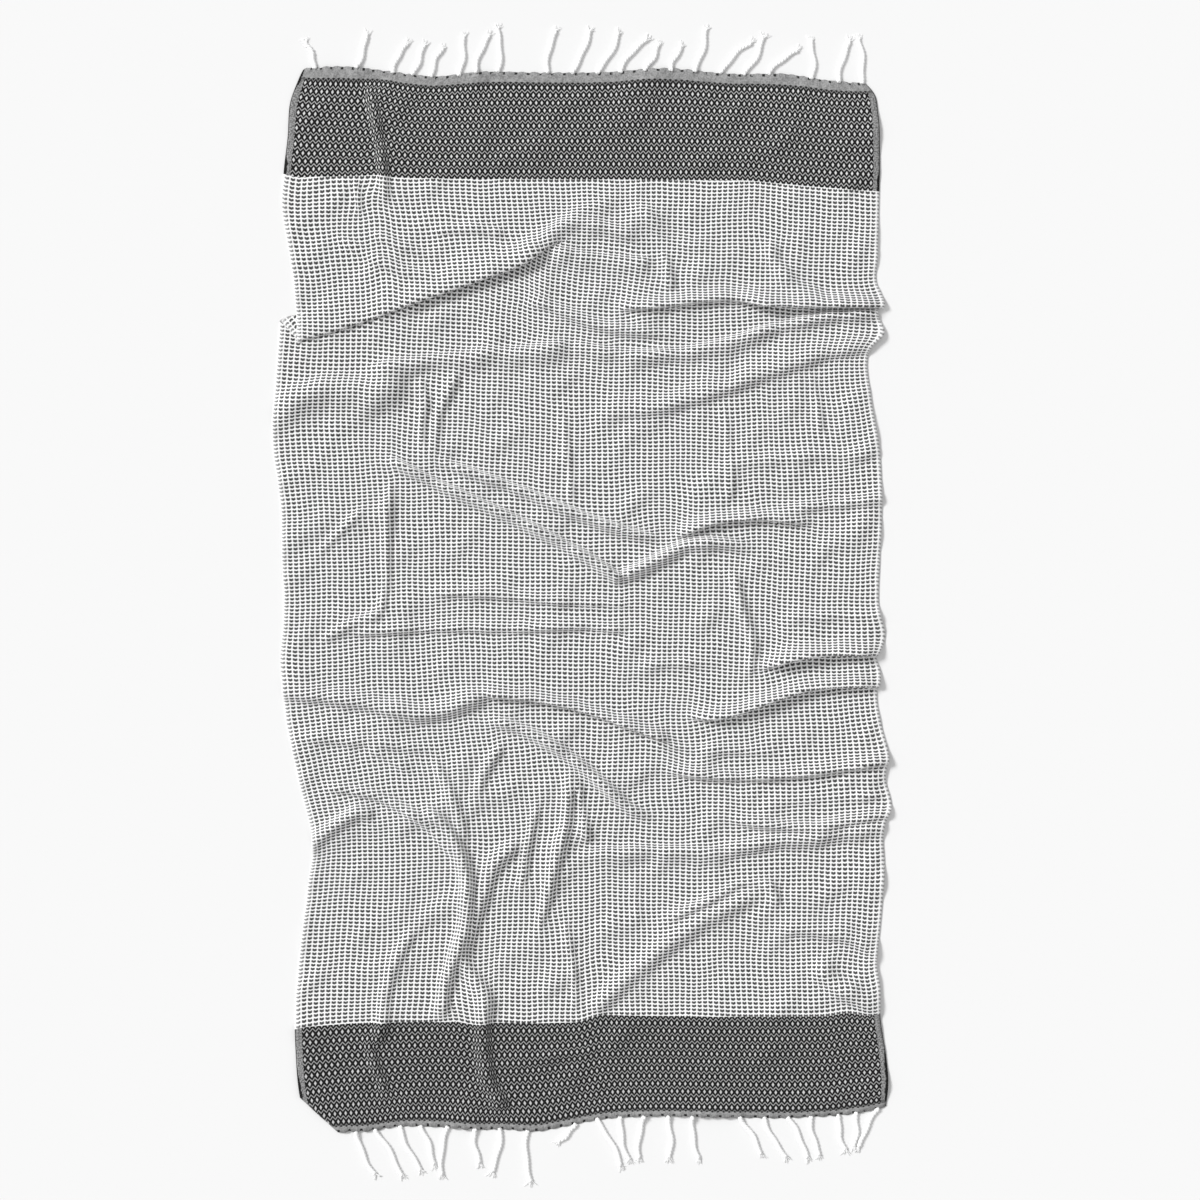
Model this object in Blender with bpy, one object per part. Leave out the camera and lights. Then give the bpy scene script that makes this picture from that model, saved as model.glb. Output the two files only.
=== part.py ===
"""Hammam towel: one loose flat-woven cloth with a knotted fringe along each short end.

The cloth lies on the floor as somebody put it down: soft folds run across it, one
tuck on the left lies over itself, and one corner is turned under. +Y runs to the head
end, +Z is up, and the underside rests at Z = 0. Sizes are in metres.
"""

import math

import bpy
import numpy as np

CLOTH = 0.0016  # thickness of the woven cloth
LAYER = CLOTH + 0.0008  # from one layer of cloth to the next where it lies over itself
GAP = 0.0004  # clearance between the hem and the fringe sewn to it

COLUMNS = 39
ROWS_LOWER = 47
ROWS_UPPER = 20
LEFT_ROUND = 0.0045  # how far from its crease a tucked layer is full height

# Edges of the cloth as it lies, (x, y), each from foot to head or from left to right.
LEFT_LOWER = (
    (-0.4100, -0.7980), (-0.4160, -0.7675), (-0.4230, -0.7365), (-0.4290, -0.6760),
    (-0.4300, -0.6080), (-0.4230, -0.5180), (-0.4110, -0.4200), (-0.4040, -0.3680),
    (-0.4290, -0.2480), (-0.4460, -0.1580), (-0.4520, -0.0900), (-0.4480, -0.0220),
    (-0.4500, 0.0680), (-0.4530, 0.1580), (-0.4650, 0.2620), (-0.4600, 0.3300),
    (-0.4555, 0.3900), (-0.4530, 0.4290),
)  # fmt: skip
LEFT_UPPER = (
    (-0.4260, 0.3930), (-0.4280, 0.4300), (-0.4340, 0.4880), (-0.4420, 0.5480),
    (-0.4500, 0.6000), (-0.4476, 0.6465), (-0.4410, 0.7050), (-0.4370, 0.7560),
    (-0.4263, 0.7850), (-0.4180, 0.8040),
)  # fmt: skip
RIGHT_LOWER = (
    (0.4560, -0.7520), (0.4590, -0.7120), (0.4560, -0.6760), (0.4470, -0.6150),
    (0.4470, -0.5720), (0.4420, -0.5380), (0.4470, -0.4880), (0.4540, -0.3920),
    (0.4540, -0.3300), (0.4640, -0.3040), (0.4560, -0.2560), (0.4600, -0.2250),
    (0.4520, -0.1920), (0.4430, -0.1280), (0.4480, -0.1020), (0.4410, -0.0700),
    (0.4540, -0.0520), (0.4460, -0.0090), (0.4470, 0.0680), (0.4500, 0.1420),
    (0.4460, 0.2380), (0.4340, 0.3100), (0.4340, 0.3860), (0.4530, 0.4060),
    (0.4440, 0.4440), (0.4540, 0.4560), (0.4420, 0.4830), (0.4440, 0.5250),
)  # fmt: skip
RIGHT_UPPER = (
    (0.4440, 0.5450), (0.4460, 0.6220), (0.4465, 0.6900), (0.4440, 0.7380),
    (0.4395, 0.7640), (0.4270, 0.7815),
)  # fmt: skip
FOOT_HEM = (
    (-0.4100, -0.7980), (-0.3880, -0.7945), (-0.3660, -0.7905), (-0.3260, -0.7890),
    (-0.2740, -0.7820), (-0.2160, -0.7820), (-0.1650, -0.7860), (-0.1140, -0.7860),
    (-0.0680, -0.7890), (-0.0340, -0.7830), (0.0270, -0.7710), (0.1230, -0.7660),
    (0.2220, -0.7680), (0.3300, -0.7680), (0.4220, -0.7600), (0.4560, -0.7520),
)  # fmt: skip
HEAD_HEM = (
    (-0.4180, 0.8040), (-0.3630, 0.8070), (-0.2900, 0.8000), (-0.2180, 0.7920),
    (-0.1640, 0.7980), (-0.0570, 0.7980), (0.0270, 0.7980), (0.1320, 0.8040),
    (0.2190, 0.7960), (0.3120, 0.7950), (0.3690, 0.7860), (0.4270, 0.7815),
)  # fmt: skip

# The tuck: the cloth folds back under itself between these two lines.
TUCK_BACK = (
    (-0.4530, 0.4290), (-0.3600, 0.4570), (-0.2500, 0.4880), (-0.1550, 0.5140),
    (-0.0800, 0.5340), (-0.0400, 0.5440), (0.1000, 0.5330), (0.4440, 0.5250),
)  # fmt: skip
TUCK_LIP = (
    (-0.4260, 0.3930), (-0.3550, 0.4130), (-0.2450, 0.4520), (-0.1550, 0.4830),
    (-0.0800, 0.5120), (-0.0400, 0.5400), (0.1000, 0.5530), (0.4440, 0.5450),
)  # fmt: skip
TUCK_CLOSED_UNTIL = -0.060  # x where the tuck starts to open
TUCK_OPEN_FROM = 0.030  # x where the cloth is a single layer again

# Folds: line in plan, height, reach to its right hand, reach to its left hand, and the
# lengths over which it fades in and fades out.
FOLDS = {
    "tuck billow": (((-0.426, 0.392), (-0.355, 0.412), (-0.245, 0.451), (-0.155, 0.483),
        (-0.080, 0.513), (-0.051, 0.534)), 0.013, 0.024, 0.036, 0.16, 0.02),
    "tuck end ridge down": (((-0.065, 0.532), (-0.038, 0.564), (-0.003, 0.574), (0.037,
        0.566), (0.077, 0.550), (0.107, 0.530)), 0.007, 0.029, 0.029, 0.04, 0.05),
    "pocket shelf": (((-0.045, 0.522), (-0.003, 0.514), (0.047, 0.505), (0.105, 0.496)),
        0.009, 0.029, 0.029, 0.01, 0.01),
    "upper right": (((0.275, 0.557), (0.289, 0.512), (0.317, 0.477), (0.377, 0.457)),
        0.007, 0.029, 0.029, 0.03, 0.03),
    "right crease, deep": (((0.217, 0.461), (0.257, 0.463), (0.307, 0.457), (0.377,
        0.456), (0.452, 0.456)), 0.014, 0.029, 0.030, 0.08, 0.00),
    "long upper, left": (((-0.343, 0.349), (-0.253, 0.364), (-0.153, 0.376), (-0.053,
        0.385), (-0.013, 0.394)), 0.007, 0.030, 0.029, 0.05, 0.02),
    "right under crease": (((0.217, 0.396), (0.297, 0.418), (0.367, 0.432), (0.452,
        0.439)), 0.008, 0.029, 0.029, 0.07, 0.00),
    "second right": (((0.452, 0.390), (0.367, 0.376), (0.297, 0.354), (0.217, 0.326),
        (0.157, 0.306), (0.077, 0.290), (0.007, 0.284)), 0.012, 0.029, 0.029, 0.00,
        0.12),
    "left shelf": (((-0.468, 0.287), (-0.423, 0.316), (-0.373, 0.324), (-0.293, 0.325),
        (-0.258, 0.344)), 0.011, 0.030, 0.034, 0.00, 0.02),
    "notch": (((-0.187, 0.352), (-0.201, 0.317), (-0.215, 0.287), (-0.221, 0.252),
        (-0.225, 0.214)), 0.008, 0.029, 0.029, 0.01, 0.03),
    "diagonal, lower": (((-0.295, 0.224), (-0.233, 0.191), (-0.163, 0.159), (-0.083,
        0.122), (-0.033, 0.096), (0.017, 0.068), (0.062, 0.037)), 0.011, 0.029, 0.029,
        0.03, 0.01),
    "centre groove": (((0.057, 0.041), (0.117, 0.070), (0.157, 0.090), (0.217, 0.092),
        (0.272, 0.080)), 0.010, 0.029, 0.029, 0.01, 0.05),
    "middle crest": (((0.132, 0.100), (0.187, 0.125), (0.237, 0.133), (0.287, 0.133),
        (0.357, 0.121)), 0.012, 0.029, 0.029, 0.04, 0.06),
    "left upright": (((-0.289, 0.192), (-0.291, 0.122), (-0.295, 0.027), (-0.301,
        -0.010)), 0.008, 0.029, 0.029, 0.02, 0.01),
    "level two": (((-0.363, -0.042), (-0.233, -0.034), (-0.083, -0.034), (-0.003,
        -0.030), (0.082, -0.039)), 0.008, 0.029, 0.029, 0.06, 0.04),
    "right upright": (((0.223, 0.057), (0.239, -0.008), (0.255, -0.063), (0.247,
        -0.113)), 0.011, 0.029, 0.029, 0.03, 0.02),
    "right overhang": (((0.255, -0.097), (0.307, -0.075), (0.357, -0.066), (0.452,
        -0.066)), 0.016, 0.029, 0.030, 0.06, 0.00),
    "right second": (((0.147, -0.166), (0.217, -0.161), (0.277, -0.140), (0.337,
        -0.121), (0.452, -0.115)), 0.012, 0.029, 0.029, 0.05, 0.00),
    "s ridge": (((-0.453, -0.133), (-0.363, -0.140), (-0.283, -0.156), (-0.233, -0.165),
        (-0.183, -0.150), (-0.138, -0.129)), 0.011, 0.029, 0.029, 0.00, 0.03),
    "s, upper arm": (((-0.158, -0.130), (-0.063, -0.138), (0.017, -0.158), (0.077,
        -0.180), (0.145, -0.206)), 0.011, 0.029, 0.029, 0.03, 0.01),
    "s, lower arm": (((-0.148, -0.168), (-0.088, -0.186), (-0.043, -0.210), (0.002,
        -0.242), (0.037, -0.273), (0.072, -0.303), (0.109, -0.321)), 0.012, 0.029,
        0.029, 0.04, 0.04),
    "middle right one": (((0.117, -0.246), (0.217, -0.256), (0.317, -0.252), (0.417,
        -0.238), (0.467, -0.230)), 0.011, 0.029, 0.029, 0.06, 0.00),
    "middle right two": (((0.207, -0.316), (0.277, -0.330), (0.347, -0.334), (0.417,
        -0.322), (0.467, -0.313)), 0.010, 0.029, 0.029, 0.06, 0.00),
    "low right": (((0.207, -0.368), (0.277, -0.355), (0.347, -0.347), (0.452, -0.332)),
        0.009, 0.029, 0.029, 0.03, 0.00),
    "low diagonal": (((0.005, -0.618), (0.047, -0.576), (0.107, -0.526), (0.167,
        -0.480), (0.232, -0.444), (0.279, -0.426)), 0.014, 0.029, 0.029, 0.03, 0.04),
    "right hollow": (((0.287, -0.488), (0.357, -0.489), (0.422, -0.508), (0.457,
        -0.536)), 0.008, 0.029, 0.034, 0.05, 0.00),
    "right bump": (((0.342, -0.533), (0.379, -0.568), (0.417, -0.593), (0.462, -0.608)),
        0.010, 0.029, 0.030, 0.03, 0.00),
    "left s, bright": (((-0.243, -0.303), (-0.207, -0.328), (-0.183, -0.368), (-0.171,
        -0.418), (-0.174, -0.478), (-0.193, -0.533), (-0.207, -0.583), (-0.211,
        -0.623)), 0.016, 0.029, 0.029, 0.03, 0.03),
    "left s, shade": (((-0.088, -0.350), (-0.121, -0.378), (-0.145, -0.428), (-0.161,
        -0.478), (-0.180, -0.528), (-0.165, -0.554), (-0.147, -0.580), (-0.147, -0.653),
        (-0.137, -0.718), (-0.111, -0.758)), 0.013, 0.029, 0.029, 0.03, 0.02),
    "left crown": (((-0.391, -0.275), (-0.323, -0.283), (-0.273, -0.303), (-0.233,
        -0.330), (-0.191, -0.380)), 0.009, 0.029, 0.029, 0.03, 0.02),
    "left notch": (((-0.411, -0.364), (-0.385, -0.340), (-0.358, -0.322), (-0.333,
        -0.310), (-0.309, -0.318)), 0.010, 0.029, 0.029, 0.00, 0.01),
    "short slant": (((-0.119, -0.206), (-0.144, -0.246), (-0.161, -0.290)), 0.008,
        0.029, 0.029, 0.02, 0.03),
    "upright one": (((-0.017, -0.243), (-0.022, -0.318), (-0.040, -0.388), (-0.055,
        -0.448), (-0.071, -0.496)), 0.012, 0.029, 0.029, 0.03, 0.04),
}  # fmt: skip

# Knotted tassels, left to right: x where it leaves the hem, then how far its tip lies
# to the right and out from the hem, and how far its middle bows to the right.
HEAD_TASSELS = (
    (-0.402, -0.012, 0.037, 0.004), (-0.338, 0.014, 0.050, 0.003),
    (-0.284, 0.022, 0.042, -0.004), (-0.254, 0.016, 0.044, 0.002),
    (-0.226, 0.016, 0.042, -0.003), (-0.184, 0.006, 0.058, 0.003),
    (-0.160, 0.021, 0.054, -0.004), (-0.126, -0.002, 0.064, 0.005),
    (-0.052, 0.014, 0.062, -0.005), (-0.016, 0.027, 0.062, 0.004),
    (0.021, 0.034, 0.060, 0.005), (0.057, 0.042, 0.048, -0.006),
    (0.093, 0.021, 0.036, 0.003), (0.132, 0.018, 0.033, -0.003),
    (0.168, 0.018, 0.062, 0.004), (0.208, 0.045, 0.046, -0.005),
    (0.242, 0.030, 0.056, 0.005), (0.279, 0.044, 0.034, -0.004),
    (0.345, -0.003, 0.056, 0.004), (0.384, 0.018, 0.060, -0.003),
    (0.419, -0.004, 0.066, 0.004),
)  # fmt: skip
FOOT_TASSELS = (
    (-0.338, 0.027, 0.063, 0.004), (-0.310, 0.040, 0.069, -0.003),
    (-0.274, 0.033, 0.064, 0.003), (-0.242, 0.020, 0.057, -0.003),
    (-0.201, -0.009, 0.072, 0.005), (-0.162, 0.009, 0.050, 0.003),
    (-0.122, -0.014, 0.064, -0.004), (-0.082, 0.006, 0.075, 0.005),
    (-0.010, -0.024, 0.026, -0.002), (0.021, 0.038, 0.069, -0.004),
    (0.058, 0.012, 0.064, 0.004), (0.094, -0.009, 0.062, 0.004),
    (0.128, 0.003, 0.062, -0.004), (0.166, 0.009, 0.062, 0.004),
    (0.236, 0.033, 0.054, -0.003), (0.273, 0.034, 0.058, 0.004),
    (0.309, 0.028, 0.060, -0.004), (0.342, 0.015, 0.056, 0.003),
    (0.386, 0.008, 0.052, 0.004), (0.410, -0.002, 0.050, -0.003),
    (0.444, -0.028, 0.058, 0.003),
)  # fmt: skip
TASSEL_RADIUS = 0.0026
TASSEL_STATIONS = (0.0, 0.32, 0.66, 1.0)
TASSEL_SWELL = (1.0, 0.9, 0.95, 0.6)
SPINE_WIDTH = 0.0024


def clear_scene():
    for old in list(bpy.data.objects):
        bpy.data.objects.remove(old, do_unlink=True)


def eased(t):
    t = np.clip(t, 0.0, 1.0)
    return t * t * (3 - 2 * t)


def curve(points, steps=8):
    """A smooth line through the points, which may be unevenly spaced."""
    p = np.array(points, float)
    h = np.linalg.norm(np.diff(p, axis=0), axis=1)[:, None]
    slope = np.diff(p, axis=0) / h
    inner = (slope[:-1] * h[1:] + slope[1:] * h[:-1]) / (h[:-1] + h[1:])
    tangent = np.vstack([slope[:1], inner, slope[-1:]])
    t = np.linspace(0, 1, steps, endpoint=False)[:, None]
    pieces = []
    for k in range(len(p) - 1):
        ahead, back = tangent[k] * h[k], tangent[k + 1] * h[k]
        pieces.append(
            (2 * t**3 - 3 * t**2 + 1) * p[k] + (t**3 - 2 * t**2 + t) * ahead
            + (3 * t**2 - 2 * t**3) * p[k + 1] + (t**3 - t**2) * back
        )  # fmt: skip
    return np.vstack(pieces + [p[-1:]])


def at_shares(points, shares):
    """Points on the smooth line at these shares of its length."""
    line = curve(points)
    run = np.concatenate([[0], np.cumsum(np.linalg.norm(np.diff(line, axis=0), axis=1))])
    return np.column_stack([np.interp(shares * run[-1], run, line[:, k]) for k in (0, 1)])


def patch(low, high, left, right, u, v):
    """Plan positions filling four edge lines, as rows of v by columns of u."""
    low, high = at_shares(low, u)[None], at_shares(high, u)[None]
    left, right = at_shares(left, v)[:, None], at_shares(right, v)[:, None]
    u, v = u[None, :, None], v[:, None, None]
    sides = (1 - u) * left + u * right + (1 - v) * low + v * high
    corners = (1 - u) * ((1 - v) * low[:, :1] + v * high[:, :1])
    corners = corners + u * ((1 - v) * low[:, -1:] + v * high[:, -1:])
    return sides - corners


def beside(line, x, y):
    """For each point, its signed distance from the line (left hand is positive) and how
    far along the line it lies."""
    best = np.full(x.shape, np.inf)
    side, along = np.zeros(x.shape), np.zeros(x.shape)
    run = 0.0
    for (ax, ay), (bx, by) in zip(line[:-1], line[1:]):
        length = math.hypot(bx - ax, by - ay)
        tx, ty = (bx - ax) / length, (by - ay) / length
        reach = np.clip((x - ax) * tx + (y - ay) * ty, 0, length)
        dx, dy = x - ax - tx * reach, y - ay - ty * reach
        distance = np.hypot(dx, dy)
        closer = distance < best
        best = np.where(closer, distance, best)
        side = np.where(closer, np.where(tx * dy - ty * dx >= 0, 1.0, -1.0), side)
        along = np.where(closer, run + reach, along)
        run += length
    return best * side, along, run


def fold_height(x, y):
    total = np.zeros(x.shape)
    for points, height, right_reach, left_reach, fade_in, fade_out in FOLDS.values():
        distance, along, length = beside(curve(points, 5), x, y)
        reach = np.where(distance > 0, left_reach, right_reach)
        rise = 0.5 + 0.5 * np.cos(np.pi * np.clip(np.abs(distance) / reach, 0, 1))
        if fade_in:
            rise = rise * eased(0.15 + 0.85 * along / fade_in)
        if fade_out:
            rise = rise * eased(0.15 + 0.85 * (length - along) / fade_out)
        total += (height * rise) ** 1.6
    return total ** (1 / 1.6)


def tuck_rows(back, lip):
    """The rows between the lower and the upper cloth: under, back over itself, and out.

    Where the tuck is open they are a plain strip between its two lines.
    """
    still_open = eased(
        (back[:, :1] - TUCK_CLOSED_UNTIL) / (TUCK_OPEN_FROM - TUCK_CLOSED_UNTIL)
    )
    step = np.array([[0.0, LEFT_ROUND]])
    # where each row lies, and its height in layers
    folded = (
        (back - step, 0.0), (back, 0.5), (back - step, 1.0),
        (lip + step, 1.0), (lip, 1.5), (lip + step, 2.0),
    )  # fmt: skip
    rows, levels = [], []
    for k, (place, level) in enumerate(folded):
        plain = back + (lip - back) * (k / (len(folded) - 1))
        rows.append(place * (1 - still_open) + plain * still_open)
        levels.append(level * LAYER * (1 - still_open[:, 0]))
    return np.array(rows), np.array(levels)


def layer_lift(plan, back, lip):
    """Height of the upper cloth over the tuck below it, which dies out past the tuck."""
    above = plan[:, :, 1] - back[None, :, 1]
    closed = 1 - eased(
        (back[:, 0] - TUCK_CLOSED_UNTIL) / (TUCK_OPEN_FROM - TUCK_CLOSED_UNTIL)
    )
    return 2 * LAYER * closed[None] * (1 - eased(above / 0.045))


def turned_corner(points):
    """The foot's left corner folded under along the diagonal of the first two cells."""
    start, end = points[2, 0, :2].copy(), points[0, 2, :2].copy()
    points[1, 1, :2] = (start + end) / 2
    along = (end - start) / np.linalg.norm(end - start)
    outward = np.array([along[1], -along[0]])
    if outward.sum() > 0:
        outward = -outward
    distance = (points[:, :, :2] - start) @ outward
    side = (points[:, :, :2] - start) @ along
    near = (1 - eased((np.abs(side - 0.038) - 0.05) / 0.05)) * (distance < 0.06)
    lift = LAYER * (1 - eased((-distance - 0.035) / 0.045)) * near
    for j, i in ((2, 0), (1, 1), (0, 2)):
        lift[j, i] = LAYER / 2
    for j, i in ((0, 0), (0, 1), (1, 0)):
        points[j, i, :2] -= 2 * distance[j, i] * outward
        points[j, i, 2] = 0.0
        lift[j, i] = 0.0
    points[:, :, 2] = np.maximum(points[:, :, 2], lift)
    return points


def cloth_middle():
    """Middle surface of the cloth as rows of points from foot to head."""
    u = np.concatenate([[0, 0.026, 0.052], np.linspace(0.052, 1, COLUMNS - 1)[1:]])
    v = np.concatenate([[0, 0.0245, 0.0495], np.linspace(0.0495, 1, ROWS_LOWER - 1)[1:]])
    back, lip = at_shares(TUCK_BACK, u), at_shares(TUCK_LIP, u)
    lower = patch(FOOT_HEM, TUCK_BACK, LEFT_LOWER, RIGHT_LOWER, u, v)
    upper = patch(TUCK_LIP, HEAD_HEM, LEFT_UPPER, RIGHT_UPPER, u,
                  np.linspace(0, 1, ROWS_UPPER + 1))  # fmt: skip
    middle, levels = tuck_rows(back, lip)
    lower, upper = lower[:-1], upper[1:]

    # rows of the lower cloth that would pass the first row of the tuck end just before it
    limit = middle[0][:, 1] - 0.004
    lower[:, :, 1] = np.minimum(lower[:, :, 1], limit[None])
    billow = fold_height(upper[:, :, 0], upper[:, :, 1])
    open_share = eased((back[:, 0] - TUCK_CLOSED_UNTIL) / 0.09)
    lift = layer_lift(upper, back, lip)
    tuck_z = fold_height(middle[:, :, 0], middle[:, :, 1])
    keep = np.array([0.0, 0.0, 0.15, 0.45, 0.8, 1.0])[:, None]
    tuck_z = tuck_z * (keep * (1 - open_share) + open_share) + levels
    low_z = fold_height(lower[:, :, 0], lower[:, :, 1])
    # the lower cloth lies flat where the tuck covers it
    under = eased((back[None, :, 1] - lower[:, :, 1] - 0.03) / 0.04)
    low_z = low_z * (under * (1 - open_share) + open_share)
    plan = np.vstack([lower, middle, upper])
    heights = np.vstack([low_z, tuck_z, billow + lift])
    return turned_corner(np.dstack([plan, heights]))


def side_normals(points):
    across = np.gradient(points, axis=1)
    along = np.gradient(points, axis=0)
    normal = np.cross(across, along)
    return normal / np.linalg.norm(normal, axis=2, keepdims=True)


def cloth_faces_of(middle):
    """Upper and lower surface points of the cloth, the lower kept on or above the floor."""
    normal = side_normals(middle)
    half = CLOTH / 2
    centre = middle + np.array([0, 0, half])
    top, bottom = centre + normal * half, centre - normal * half
    for surface in (top, bottom):
        surface[:, :, 2] = np.maximum(surface[:, :, 2], 0.0)
    return top, bottom


def grid_mesh(name, top, bottom, material):
    """One closed body from two matching grids of points."""
    rows, columns = top.shape[:2]
    points = np.vstack([top.reshape(-1, 3), bottom.reshape(-1, 3)])
    under = rows * columns
    faces = []
    for j in range(rows - 1):
        for i in range(columns - 1):
            a, b = j * columns + i, j * columns + i + 1
            c, d = b + columns, a + columns
            # each cell is split along its more level diagonal, so folds run smoothly
            fall, rise = (abs(points[p][2] - points[q][2]) for p, q in ((b, d), (a, c)))
            if i + j < 3 or fall <= rise:
                halves = ((a, b, d), (b, c, d))
            else:
                halves = ((a, b, c), (a, c, d))
            faces += halves
            faces += [tuple(under + k for k in half[::-1]) for half in halves]
    rim = [j * columns for j in range(rows - 1, 0, -1)]
    rim += [i for i in range(columns - 1)]
    rim += [j * columns + columns - 1 for j in range(rows - 1)]
    rim += [(rows - 1) * columns + i for i in range(columns - 1, 0, -1)]
    for here, after in zip(rim, rim[1:] + rim[:1]):
        faces.append((under + here, under + after, after, here))
    return add_mesh(name, points, faces, material)


def add_mesh(name, points, faces, material):
    mesh = bpy.data.meshes.new(name)
    mesh.from_pydata([tuple(p) for p in points], [], faces)
    mesh.materials.append(material)
    obj = bpy.data.objects.new(name, mesh)
    bpy.context.scene.collection.objects.link(obj)
    return obj


def hem_rims(top, bottom, outward):
    """The hem's edge as x, y and its two heights, y being its outermost point."""
    y = np.maximum(top[:, 1] * outward, bottom[:, 1] * outward) * outward
    x = (top[:, 0] + bottom[:, 0]) / 2
    low = np.minimum(top[:, 2], bottom[:, 2])
    return x, y, low, low + CLOTH


def spine_solid(rim, outward):
    """The thin bar that carries the tassels, lying along the hem's edge."""
    x, y, low, high = rim
    near, far = y + outward * GAP, y + outward * (GAP + SPINE_WIDTH)
    ring = [np.column_stack(p) for p in ((x, near, low), (x, far, low),
                                         (x, far, high), (x, near, high))]  # fmt: skip
    if outward < 0:
        ring = ring[::-1]
    return loft(ring)


def loft(ring):
    """Points and faces of a closed bar: ring holds its four or more long edges."""
    count, sides = len(ring[0]), len(ring)
    points = np.vstack([[edge[k] for edge in ring] for k in range(count)])
    faces = []
    for k in range(count - 1):
        for s in range(sides):
            a, b = k * sides + s, k * sides + (s + 1) % sides
            faces.append((a, a + sides, b + sides, b))
    faces.append(tuple(range(sides)))
    faces.append(tuple((count - 1) * sides + s for s in reversed(range(sides))))
    return points, faces


def tassel_solid(base, tip, bow, outward):
    """A cord lying on the floor, five-sided with a flat underside."""
    base, tip = np.array(base), np.array(tip)
    edges = [[] for _ in range(5)]
    direction = (tip - base) / np.linalg.norm(tip - base)
    across = np.array([direction[1], -direction[0]])
    for share, swell in zip(TASSEL_STATIONS, TASSEL_SWELL):
        centre = base + (tip - base) * share + np.array([bow, 0]) * math.sin(math.pi * share)
        r = TASSEL_RADIUS * swell
        section = ((-0.6, 0.0), (0.6, 0.0), (1.0, 1.0), (0.0, 1.85), (-1.0, 1.0))
        # the first section lies along the hem, so that the cord stays clear of it
        way = across if share else np.array([math.copysign(1.0, across[0]), 0.0])
        for edge, (a, b) in zip(edges, section):
            place = centre + way * a * r
            edge.append((place[0], place[1], b * r))
    points, faces = loft([np.array(edge) for edge in edges])
    return points, [face[::-1] for face in faces]


def fringe(name, rim, tassels, outward, material):
    """One comb: the bar along the hem with its tassels."""
    x, y, low, _ = rim
    bar = add_mesh(name, *spine_solid(rim, outward), material)
    points, faces = [], []
    for start, over, out, bow in tassels:
        leave = np.interp(start, x, y) + outward * (GAP + SPINE_WIDTH * 0.4)
        more, rings = tassel_solid(
            (start, leave), (start + over, leave + outward * out), bow, outward
        )
        faces += [tuple(len(points) + k for k in ring) for ring in rings]
        points += [tuple(p) for p in more]
    cords = add_mesh(name + "_cords", points, faces, material)
    cords.hide_render = True
    outward_faces(bar)
    outward_faces(cords)
    join = bar.modifiers.new("cords", "BOOLEAN")
    join.operation, join.solver, join.object = "UNION", "EXACT", cords
    return bar


def outward_faces(obj):
    """Turn the faces round if they point inwards."""
    mesh = obj.data
    volume = 0.0
    for polygon in mesh.polygons:
        ring = [mesh.vertices[k].co for k in polygon.vertices]
        for b, c in zip(ring[1:-1], ring[2:]):
            volume += ring[0].dot(b.cross(c))
    if volume < 0:
        mesh.flip_normals()


def paint(name, colour, roughness):
    material = bpy.data.materials.new(name)
    material.use_nodes = True
    shader = material.node_tree.nodes["Principled BSDF"]
    shader.inputs["Base Color"].default_value = (*colour, 1)
    shader.inputs["Roughness"].default_value = roughness
    return material


def centre_on_origin(objects):
    """Move everything so that its box is centred on X = Y = 0."""
    graph = bpy.context.evaluated_depsgraph_get()
    corners = []
    for obj in objects:
        mesh = obj.evaluated_get(graph).data
        corners += [tuple(v.co) for v in mesh.vertices]
    corners = np.array(corners)
    middle = (corners.min(axis=0) + corners.max(axis=0)) / 2
    for obj in bpy.data.objects:
        for v in obj.data.vertices:
            v.co.x -= middle[0]
            v.co.y -= middle[1]


def build():
    clear_scene()
    woven = paint("woven_cloth", (0.55, 0.55, 0.54), 0.9)
    cord = paint("fringe_cord", (0.86, 0.86, 0.84), 0.9)
    top, bottom = cloth_faces_of(cloth_middle())
    cloth = grid_mesh("towel_cloth", top, bottom, woven)
    # the foot fringe starts a little way in from the turned corner
    start = [edge[0, 2] * 0.5 + edge[0, 3] * 0.5 for edge in (top, bottom)]
    foot_rim = hem_rims(
        np.vstack([start[:1], top[0, 3:]]), np.vstack([start[1:], bottom[0, 3:]]), -1
    )
    head_rim = hem_rims(top[-1], bottom[-1], 1)
    foot = fringe("fringe_foot", foot_rim, FOOT_TASSELS, -1, cord)
    head = fringe("fringe_head", head_rim, HEAD_TASSELS, 1, cord)
    outward_faces(cloth)
    bpy.context.view_layer.update()
    centre_on_origin((cloth, foot, head))


build()
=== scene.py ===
"""Looks of the hammam towel: the woven cloth in its folds, its hems and twisted fringe.

The cloth is a fine grid laid over the same outline and folds as the solid. Its weave is
worked out in the material from the cloth's own width and length, which are measured along
the folds, so the pattern bends and crowds as cloth does.
"""

import math
from types import SimpleNamespace

import bpy
import numpy as np
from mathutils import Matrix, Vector


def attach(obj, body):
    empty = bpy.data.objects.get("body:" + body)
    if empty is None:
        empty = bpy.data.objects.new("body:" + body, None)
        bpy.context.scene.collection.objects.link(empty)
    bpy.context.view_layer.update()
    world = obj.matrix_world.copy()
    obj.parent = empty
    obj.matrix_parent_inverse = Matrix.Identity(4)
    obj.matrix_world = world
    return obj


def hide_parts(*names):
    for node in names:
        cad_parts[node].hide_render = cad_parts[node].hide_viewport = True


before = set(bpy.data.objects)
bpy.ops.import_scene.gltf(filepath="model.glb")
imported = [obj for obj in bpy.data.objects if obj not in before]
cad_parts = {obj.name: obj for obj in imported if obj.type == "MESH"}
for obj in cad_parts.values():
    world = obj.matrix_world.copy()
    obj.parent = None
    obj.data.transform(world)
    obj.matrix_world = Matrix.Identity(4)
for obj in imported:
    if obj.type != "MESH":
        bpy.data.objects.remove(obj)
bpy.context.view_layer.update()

# ---------------------------------------------------------------- sizes, in metres
MM = 0.001
CLOTH = 0.0013  # thickness of the woven cloth
LAYER = CLOTH + 0.0009  # from one layer to the next where it lies over itself
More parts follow.
